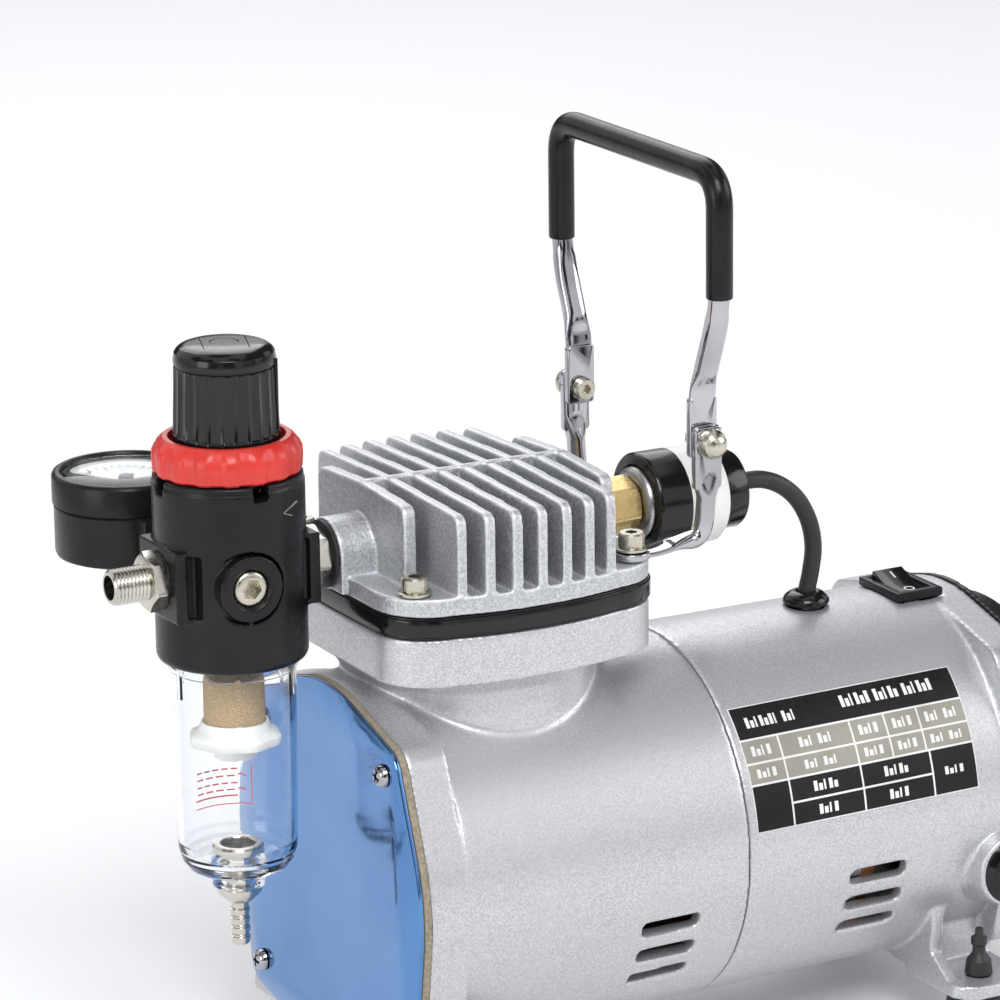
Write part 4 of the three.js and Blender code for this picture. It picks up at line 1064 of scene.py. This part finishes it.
def port_fittings():
    """The outlet with its thread, the plug in the front port and the nipple to the head."""
    outlet = Place("outlet_fitting")
    face = REG_X - PORT_FACE - 0.3
    hexa = nut("x", 14, face - 3.8, face, DUCT, 0.26)
    cut(hexa, rod("x", 3.3, face - 5, face + 1, DUCT))
    thread = threaded("x", 4.9, 1.05, 0, face - 3.6 - outlet.x0, (outlet.x0, 0, DUCT_Z), 0.45, 48)
    cut(thread, rod("x", 3.3, outlet.x0 - 1, face, DUCT))
    whole = together("outlet", hexa, thread)
    piece("outlet_thread", whole, NICKEL, "outlet_fitting", 30)
    washer = ring("x", 5, 7.6, face - 0.05, face + 0.28, DUCT)
    piece("outlet_washer", washer, RUBBER)
    start = REG_X + PORT_FACE + 0.3
    link = together("link", nut("x", 14, start, -43.5, DUCT, 0.26), rod("x", 4.8, start - 5, -35, DUCT))
    piece("link_nipple", link, NICKEL, "outlet_nipple")
    seal = turned([(4.9, -43.4), (8.7, -43.4), (9.1, -43.1), (9.1, -42.5), (8.8, -42.2), (4.9, -42.2)],
        "x", DUCT)
    piece("link_seal", seal, RUBBER)
    plug = turned([(0, -20.1), (3.9, -20.1), (4.6, -19.6), (4.8, -19.2), (4.8, -13), (0, -13)], "z")
    cut(plug, prism(hexagon(5, 0.2), "z", -21, -16.4))
    plug.data.transform(to_axis("y"))
    piece("plug_screw", moved(plug, PORT), ZINC, "port_plug")


# ---- gauge ----------------------------------------------------------------------------
GAUGE_C = (PORT_X, 56, 0)


def gauge():
    z0, z1 = GAUGE.z0, GAUGE.z1
    cup = turned([(0, z0), (18.2, z0), (19.2, z0 + 0.4), (19.6, z0 + 1.4), (19.6, 157.2), (19.3, 157.5),
        (19.6, 157.8), (20, 158.1), (20, z1 - 1.2), (19.5, z1 - 0.3), (18.9, z1), (17.9, z1),
        (17.35, z1 - 0.6), (17.2, z1 - 2.2), (17.2, 161), (0, 161)], at=GAUGE_C, steps=128)
    neck = block(PORT_X - 6, PORT_X + 6, 32, 42, DUCT_Z - 6, DUCT_Z + 6, 1)
    piece("gauge_shell", join(cup, neck), BLACK, "gauge_case")
    stem = together("stem", rod("y", 4.8, 13.5, 36, PORT), nut("y", 12, 21.2, 29, PORT))
    piece("gauge_stem", stem, BRASS)
    dial = rod("z", 17.1, DIAL.z0, DIAL.z1, GAUGE_C, steps=96)
    piece("dial_card", dial, PAPER, "gauge_dial")
    marks = []
    for i in range(31):
        a = math.radians(225 - 9 * i)
        size = 3.2 if i % 5 == 0 else 1.7
        tick = block(14.8 - size, 14.8, -0.14, 0.14, DIAL.z1 + 0.01, DIAL.z1 + 0.05)
        marks.append(moved(tick, GAUGE_C, math.degrees(a)))
    piece("dial_ticks", together("ticks", *marks), LABEL_BLACK)
    glass = turned([(0, LENS.z0), (17.05, LENS.z0), (17.05, LENS.z1 - 0.3), (16.6, LENS.z1),
        (8, LENS.z1 + 0.25), (0, LENS.z1 + 0.3)], at=GAUGE_C, steps=96)
    piece("lens_window", glass, LENS_CLEAR, "gauge_lens", 50)
    blade = prism([(-4, -0.9), (-4, 0.9), (13, 0.22), (13, -0.22)], "z", 162.5, 162.9, 0.1)
    hub = turned([(0, 162.3), (2, 162.3), (2, 163.1), (1.6, 163.5), (0, 163.5)])
    hand = moved(together("hand", blade, hub), (GAUGE_C[0], GAUGE_C[1], 0), 225)
    piece("needle_hand", hand, LABEL_BLACK, "gauge_needle", body="needle")


# ---- pressure switch ------------------------------------------------------------------
def pressure_switch():
    adapter = Place("switch_adapter")
    hexa = nut("x", 14, 39.9, adapter.x1, DUCT, 0.26)
    brass = together("brass", hexa, rod("x", 4.8, 33, 41, DUCT))
    piece("adapter_hex", brass, BRASS, "switch_adapter")
    collar = turned([(0, 51), (8.2, 51), (9.4, 51.4), (10, 52.2), (10.2, 53.6), (9.9, 54.2), (9.9, 57),
        (0, 57)], "x", DUCT)
    piece("switch_collar", collar, CRIMP, "pressure_switch")
    cup = turned([(10.6, 52.9), (13.1, 52.9), (13.6, 53.4), (13.75, 54.4), (13.75, 62.9), (0, 62.9),
        (0, 56.5), (10.6, 56.5)], "x", DUCT)
    piece("switch_cup", cup, GLOSS_BLACK)
    band = turned([(0, 62.9), (13.5, 62.9), (13.62, 63.1), (13.62, 74.4), (13.1, 75), (0, 75)], "x", DUCT,
        96)
    piece("switch_band", band, WHITE)
    cap = turned([(0, 74.6), (10.8, 74.6), (10.8, 82), (10.4, 82.7), (9.6, 83), (4, 83), (3.4, 82.6),
        (0, 82.6)], "x", DUCT, 96)
    piece("switch_cap", cap, GLOSS_BLACK)


def switch_lead():
    route = [(82.8, 0, 152.8), (85, 0, 152.9), (88, 0, 153.2), (93, 0, 152.8), (99, 0, 150.3),
        (104.4, 0, 145.6), (108.4, 0, 138.4), (109.8, 0, 131), (109, 0, 124), (107.8, 0, 118.5),
        (107.5, 0, 113), (107.5, 0, 107)]
    lead = tube(curve_through(route, 10), 2.45, 24)
    piece("lead_jacket", lead, RUBBER, "switch_lead", 60)
    z = GROMMET.z1
    dome = turned([(2.6, z - 9), (5, z - 9), (5, z - 3.5), (6.2, z - 3.5), (6.6, z - 3.1),
        (6.55, z - 2.3), (5.9, z - 1.3), (4.8, z - 0.5), (3.6, z), (2.8, z - 0.2)], at=(GROMMET.x, 0, 0))
    piece("grommet_dome", dome, GLOSS_BLACK, "lead_grommet")


def mains_gland():
    """A collar with a waisted, ribbed cone, its cord left out."""
    face = GLAND.y0
    skin = [(3.4, face), (6.1, face), (6.6, face + 0.5), (7.3, face + 1.4), (6.9, face + 1.8),
        (8.2, face + 2.6), (9.4, face + 3.4), (10.2, face + 4.2), (10.4, face + 5), (10.4, face + 6.7),
        (7.4, face + 6.9), (7.4, -43.5), (3.4, -43.5)]
    shape = turned([(r, -y) for r, y in skin], "z", steps=96)
    shape.data.transform(Matrix(((1, 0, 0, 0), (0, 0, -1, 0), (0, 1, 0, 0), (0, 0, 0, 1))))
    piece("gland_collar", moved(outward(shape), (GLAND.x, 0, GLAND.z)), GLOSS_BLACK,
        "mains_gland")


def rocker_switch():
    x, z0, z1 = FRAME.x, FRAME.z1 - 2.5, FRAME.z1
    plate = block(FRAME.x0, FRAME.x1, FRAME.y0, FRAME.y1, z0, z1, 0.6)
    join(plate, block(x - 6.2, x + 6.2, -9.2, 9.2, z0 - 14, z0 + 0.5))
    cut(plate, block(x - 5.2, x + 5.2, -8.2, 8.2, z0 - 5, z1 + 1))
    piece("rocker_bezel", bevelled(plate, 0.25), BLACK, "rocker_frame")
    z = AXIS_Z + 52.6
    outline = [(-7.7, -0.4), (-7.7, 1.3, 0.5), (0, 0.1, 0), (7.7, 1.3, 0.5), (7.7, -0.4), (3, -3.6),
        (-3, -3.6)]
    key = prism(fillet(outline, 0.3, True), "x", -4.9, 4.9, 0.3)
    piece("rocker_key", moved(key, (x, 0, z), 12, "x"), GLOSS_BLACK, "rocker",
        body="rocker")
    slope = math.degrees(math.atan2(1.2, 7.7))
    line = block(-0.25, 0.25, -1.5, 1.5, 0, 0.06)
    circle = ring("z", 1.15, 1.6, 0, 0.06, steps=40)
    line = moved(moved(line, (0, 4.4, 0.81), slope, "x"), (x, 0, z), 12, "x")
    circle = moved(moved(circle, (0, -4.4, 0.81), -slope, "x"), (x, 0, z), 12, "x")
    piece("rocker_marks", together("marks", line, circle), MARK_WHITE, body="rocker")


# ---- handle ---------------------------------------------------------------------------
GRIP = Place("handle_grip")
PIVOT = Place("handle_pivot_near")
LEG_Y, BAR_Z, SLEEVE_END = (GRIP.y1 - GRIP.y0) / 2 - 5.2, 250.4, 217.5


def tab(x, low, high, half, y0, y1):
    """A pressed-flat end with square shoulders."""
    return prism(rounded(x - half, x + half, low, high, 1.5, 4), "y", min(y0, y1), max(y0, y1), 0.4)


def eased(t, low, high):
    share = max(0.0, min(1.0, (t - low) / (high - low)))
    return share * share * (3 - 2 * share)


def leg_width(t):
    """The rail is round under the sleeve, oval below it and pressed flat at its pivots."""
    t = min(t, 1 - t)
    oval, full = eased(t, 0.045, 0.075), eased(t, 0.11, 0.17)
    thick = 1.1 + 1.3 * oval + 0.5 * full
    wide = 4.0 - 0.75 * oval - 0.35 * full
    return thick, wide


def handle():
    x, z = PIVOT.x, PIVOT.z
    half = [(32.85, z + 4), (32.9, z + 10), (33.8, z + 16.5), (LEG_Y, z + 36.5), (LEG_Y, BAR_Z)]
    route = [(x, -y, h) for y, h in half] + [(x, y, h) for y, h in reversed(half)]
    rail = tube(stepped(bent(route, 9, 10), 2.2), leg_width, 28, (0, 1, 0))
    tabs = [tab(x, z - 4.6, z + 12, 4.2, s * 31.75, s * 33.95) for s in (-1, 1)]
    for shape in tabs:
        cut(shape, rod("y", 2.1, -36, 36, (x, 0, z)))
    piece("rail_tube", together("rail", rail, *tabs), CHROME, "handle_bail", 50, body="handle")
    bar = [(x, -LEG_Y, SLEEVE_END), (x, -LEG_Y, BAR_Z), (x, LEG_Y, BAR_Z), (x, LEG_Y, SLEEVE_END)]
    sleeve = tube(stepped(bent(bar, 9.5, 12), 2.5), 3.6, 36, (0, 1, 0))
    bevelled(sleeve, 0.45, 3, 60)
    nub = turned([(0, 0), (1.1, 0.1), (1.5, 0.7), (1.5, 1.6), (0, 1.6)])
    nub = moved(nub, (x, -LEG_Y, SLEEVE_END - 0.6))
    piece("grip_sleeve", together("sleeve", sleeve, nub), SLEEVE, "handle_grip", 50,
        body="handle")


def bracket_width(t):
    """Flat under its bolt, round in the bend, pressed flat again at the pivot."""
    low = max(0.0, min(1.0, (t - 0.22) / 0.16))
    high = max(0.0, min(1.0, (t - 0.66) / 0.14))
    wide = 4.1 - 1.5 * low
    thick = 1.0 + 1.6 * low
    return wide + (1.2 - wide) * high, thick + (4.2 - thick) * high


def bracket(side, word):
    x, z = PIVOT.x, PIVOT.z
    base = HEAD.z0 + 5.3
    route = [(BOLT_AT, BOLT_AT, base + 1), (BOLT_AT + 8, 32.8, base + 1.2),
        (BOLT_AT + 14, 33.2, base + 2.6), (x, 33.6, base + 2.6), (x, 35.5, z - 14), (x, 35.5, z + 1.5)]
    rail = tube(stepped(bent(route, 7, 10), 1.6), bracket_width, 28, (0, 1, 0))
    pad = rod("z", 5, base, base + 2, (BOLT_AT, BOLT_AT, 0), 0.4)
    upper = tab(x, z - 13, z + 4.4, 4.1, 34.35, 36.65)
    whole = cut(join(rail, pad, upper), rod("z", 2.3, base - 1, base + 4, (BOLT_AT, BOLT_AT, 0)),
        rod("y", 2.1, 30, 60, (x, 0, z)))
    piece(f"bracket_{word}", mirrored(whole, side), CHROME, f"handle_bracket_{word}", 46)


def pivot(side, word):
    """A button-head screw from the inside and a dome nut outside."""
    x, z = PIVOT.x, PIVOT.z
    head = turned([(0, 28.9), (2.6, 28.9), (3.0, 29.3), (3.1, 31.0), (3.1, 31.45), (2, 31.45), (2, 37),
        (0, 37)])
    cut(head, prism(hexagon(2.5), "z", 28, 30.6))
    base = nut("z", 7.4, 36.95, 37.8, (0, 0, 0))
    dome = turned(fillet([(0, 37.3), (4.0, 37.3), (4.05, 38.4), (3.9, 39.4), (3.4, 40.5), (2.5, 41.4),
        (1.3, 42), (0, 42.2)], 0.5), steps=64)
    whole = together("pin", head, base, dome)
    whole.data.transform(Matrix(((1, 0, 0, 0), (0, 0, side, 0), (0, 1, 0, 0), (0, 0, 0, 1))))
    piece(f"pin_{word}", moved(outward(whole), (x, 0, z)), ZINC, f"handle_pivot_{word}")


# ---- feet and label -------------------------------------------------------------------
def rubber_feet():
    for i in (1, 2, 3, 4):
        place = Place(f"foot_{i}")
        under, above = 11.2, 15.8
        skin = [(0, 0), (8.6, 0), (9.5, 0.6), (9.8, 1.6), (9.3, 5), (8.8, 9), (8.2, 10.8), (7.6, under),
            (3, under), (3, above), (3.9, above), (3.9, above + 0.8), (3.5, above + 4),
            (2.6, above + 5.2), (1.9, above + 6.2), (1.8, above + 8), (2.35, above + 8.8),
            (2.3, above + 10.6), (1.3, above + 11.2), (1.1, above + 13.3), (0, above + 13.6)]
        foot = turned(fillet(skin, 0.3), at=(place.x, place.y, 0), steps=64)
        piece(f"rubber_{i}", foot, RUBBER, f"foot_{i}")


LABEL_X, LABEL_ANGLES, LABEL_RISE = (60.4, 132), (47.4, 8.4), 0.8
ROWS = (0, 0.28, 0.47, 0.635, 0.82, 1)
BEIGE_COLUMNS = (0, 0.165, 0.485, 0.64, 0.79, 1)
BLACK_COLUMNS = (0.165, 0.485, 0.80)


def patch(u0, u1, v0, v1, lift, inset=0.0):
    """A thin curved plate on the housing: u runs along X, v down from the label's top."""
    x0, x1 = [LABEL_X[0] + u * (LABEL_X[1] - LABEL_X[0]) for u in (u0, u1)]
    a0, a1 = [math.radians(LABEL_ANGLES[0] + v * (LABEL_ANGLES[1] - LABEL_ANGLES[0])) for v in (v0, v1)]
    x0, x1, a0, a1 = x0 + inset, x1 - inset, a0 - inset / CASE_R, a1 + inset / CASE_R
    rise = math.radians(LABEL_RISE) / (LABEL_X[1] - LABEL_X[0])
    steps = max(2, round(abs(a1 - a0) * 30))
    low, high = CASE_R - 0.2, CASE_R + lift
    rings = []
    for k in range(steps + 1):
        rings.append([])
        for r, x in ((high, x0), (high, x1), (low, x1), (low, x0)):
            b = a0 + (a1 - a0) * k / steps + rise * (x - LABEL_X[0])
            rings[-1].append((x, -r * math.cos(b), AXIS_Z + r * math.sin(b)))
    return skinned(rings)


def bars(u0, u1, v0, v1, words, lift, height=0.42):
    """Plain blocks that stand where a line of print would be: words lists letter counts."""
    total = sum(words) + 0.8 * (len(words) - 1)
    half = height * (v1 - v0) / 2
    middle = (v0 + v1) / 2
    pitch = min(0.84 * (u1 - u0) / total, 0.0225)
    at = (u0 + u1) / 2 - pitch * total / 2
    made = []
    for word in words:
        for k in range(word):
            end = at + pitch * (0.34 if k % 4 == 2 else 0.7)
            top = middle - half * (0.35 if k % 3 == 1 else 1)
            made.append(patch(at, end, top, middle + half, lift))
            at += pitch
        at += pitch * 0.8
    return made


def rating_label():
    black = [patch(0, 1, 0, ROWS[1], 0.16, 0.3)]
    black += [patch(0, BLACK_COLUMNS[0], ROWS[3], 1, 0.16, 0.3)]
    black += [patch(BLACK_COLUMNS[2], 1, ROWS[3], 1, 0.16, 0.3)]
    beige, light = [], []
    for top, bottom in zip(ROWS[1:3], ROWS[2:4]):
        for left, right in zip(BEIGE_COLUMNS, BEIGE_COLUMNS[1:]):
            beige.append(patch(left, right, top, bottom, 0.16, 0.3))
            words = (3, 3) if right - left > 0.2 else (4,)
            light += bars(left, right, top, bottom, words, 0.2)
    for top, bottom, words in ((ROWS[3], ROWS[4], (5,)), (ROWS[4], 1, (4,))):
        for left, right in zip(BLACK_COLUMNS, BLACK_COLUMNS[1:]):
            black.append(patch(left, right, top, bottom, 0.16, 0.3))
            light += bars(left, right, top, bottom, words, 0.2)
    light += bars(0.03, 0.30, 0.04, 0.25, (7, 3), 0.2)
    light += bars(0.40, 0.98, 0.02, 0.22, (6, 5, 6), 0.2, 0.5)
    light += bars(BLACK_COLUMNS[2], 1, ROWS[3] + 0.08, 0.92, (4,), 0.2, 0.3)
    piece("label_grid", patch(0, 1, 0, 1, 0.1), WHITE)
    piece("label_black_cells", together("black", *black), LABEL_BLACK)
    piece("label_beige_cells", together("beige", *beige), LABEL_BEIGE)
    piece("label_bars", together("light", *light), MARK_WHITE)


# ---- what shows of the inside ---------------------------------------------------------
def regulating_spring():
    turns, radius, wire, low, high = 4, 8, 0.7, 167.2, 179.4
    steps = 40 * turns
    path = []
    for k in range(steps + 1):
        angle = 2 * math.pi * turns * k / steps
        height = low + (high - low) * k / steps
        path.append((REG_X + radius * math.cos(angle), radius * math.sin(angle), height))
    coil = piece("spring_coil", tube(path, wire, sides=10), STEEL, "regulating_spring")
    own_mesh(coil)


def inner_finishes():
    laminated = brushed("laminations", (0.36, 0.36, 0.37), 0.4, (60, 1, 1), 0.6)
    inside = {"stator_core": laminated, "rotor": laminated, "windings": COPPER, "front_bearing": STEEL,
        "rear_bearing": STEEL, "motor_shaft": STEEL, "crank": ALUMINIUM, "connecting_rod": ALUMINIUM,
        "cylinder_liner": STEEL, "fan": BLACK, "adjusting_screw": ZINC, "spring_seat": BRASS}
    for node, material in inside.items():
        for slot in bpy.data.objects[node].material_slots:
            slot.material = material


cylinder_head()
valve_band()
head_bolts()
regulator_body()
flow_mark()
panel_ring()
knob()
filter_bowl()
level_marks()
filter_inside()
drain_valve()
port_fittings()
gauge()
pressure_switch()
switch_lead()
mains_gland()
rocker_switch()
handle()
for side, word in ((-1, "near"), (1, "far")):
    bracket(side, word)
    pivot(side, word)
rubber_feet()
rating_label()
regulating_spring()
inner_finishes()


# ---- stage ----------------------------------------------------------------------------
def stage():
    floor = thing([(-6, -6, 0), (6, -6, 0), (6, 6, 0), (-6, 6, 0)], [(0, 1, 2, 3)])
    floor.name = "floor"
    floor.location.z = -0.0005
    look = Look("floor_paper", (0.95, 0.95, 0.95), 0.8)
    tone = look.mixed(look.noise(3, 2), (0.94, 0.94, 0.945), (0.96, 0.96, 0.965))
    look.feed("Base Color", tone)
    floor.data.materials.append(look.material)
    world = bpy.data.worlds.new("studio")
    world.use_nodes = True
    nodes, links = world.node_tree.nodes, world.node_tree.links
    way = nodes.new("ShaderNodeTexCoord")
    patches = nodes.new("ShaderNodeTexNoise")
    patches.inputs["Scale"].default_value = 2.2
    patches.inputs["Detail"].default_value = 0
    span = nodes.new("ShaderNodeMapRange")
    for key, value in (("From Min", 0.455), ("From Max", 0.545), ("To Min", 0.04), ("To Max", 0.92)):
        span.inputs[key].default_value = value
    background = nodes["Background"]
    background.inputs["Color"].default_value = (0.96, 0.97, 1.0, 1)
    links.new(way.outputs["Generated"], patches.inputs["Vector"])
    links.new(patches.outputs[0], span.inputs["Value"])
    links.new(span.outputs[0], background.inputs["Strength"])
    bpy.context.scene.world = world
    centre = Vector((0, 0, 0.1))
    lamps = (("key", (-0.45, -1.25, 1.5), 0.9, 19), ("side", (1.5, -0.8, 0.9), 1.0, 8),
        ("front", (-1.6, -0.4, 0.5), 0.7, 4), ("back", (0.4, 1.4, 1.3), 1.2, 9))
    for name, at, size, power in lamps:
        data = bpy.data.lights.new(name, "AREA")
        data.shape, data.size, data.energy = "SQUARE", size, power
        lamp = bpy.data.objects.new(name, data)
        bpy.context.scene.collection.objects.link(lamp)
        lamp.location = at
        lamp.rotation_euler = (Vector(at) - centre).to_track_quat("Z", "Y").to_euler()


CAMERA_AT = (-0.6663, -1.1912, 0.5382)
CAMERA_YAW, CAMERA_PITCH, CAMERA_ROLL = -30.255, 17.03, -0.222
CAMERA_LENS, CAMERA_SHIFT = 187.82, (-0.1507, 0.117)


def camera():
    data = bpy.data.cameras.new("camera")
    data.sensor_width, data.lens = 36, CAMERA_LENS
    data.shift_x, data.shift_y = CAMERA_SHIFT
    data.clip_start, data.clip_end = 0.05, 50
    obj = bpy.data.objects.new("camera", data)
    bpy.context.scene.collection.objects.link(obj)
    turn = Matrix.Rotation(math.radians(CAMERA_YAW), 4, "Z")
    turn = turn @ Matrix.Rotation(math.radians(90 - CAMERA_PITCH), 4, "X")
    turn = turn @ Matrix.Rotation(math.radians(CAMERA_ROLL), 4, "Z")
    obj.matrix_world = Matrix.Translation(CAMERA_AT) @ turn
    bpy.context.scene.camera = obj


stage()
camera()
bpy.context.scene.view_settings.view_transform = "Standard"
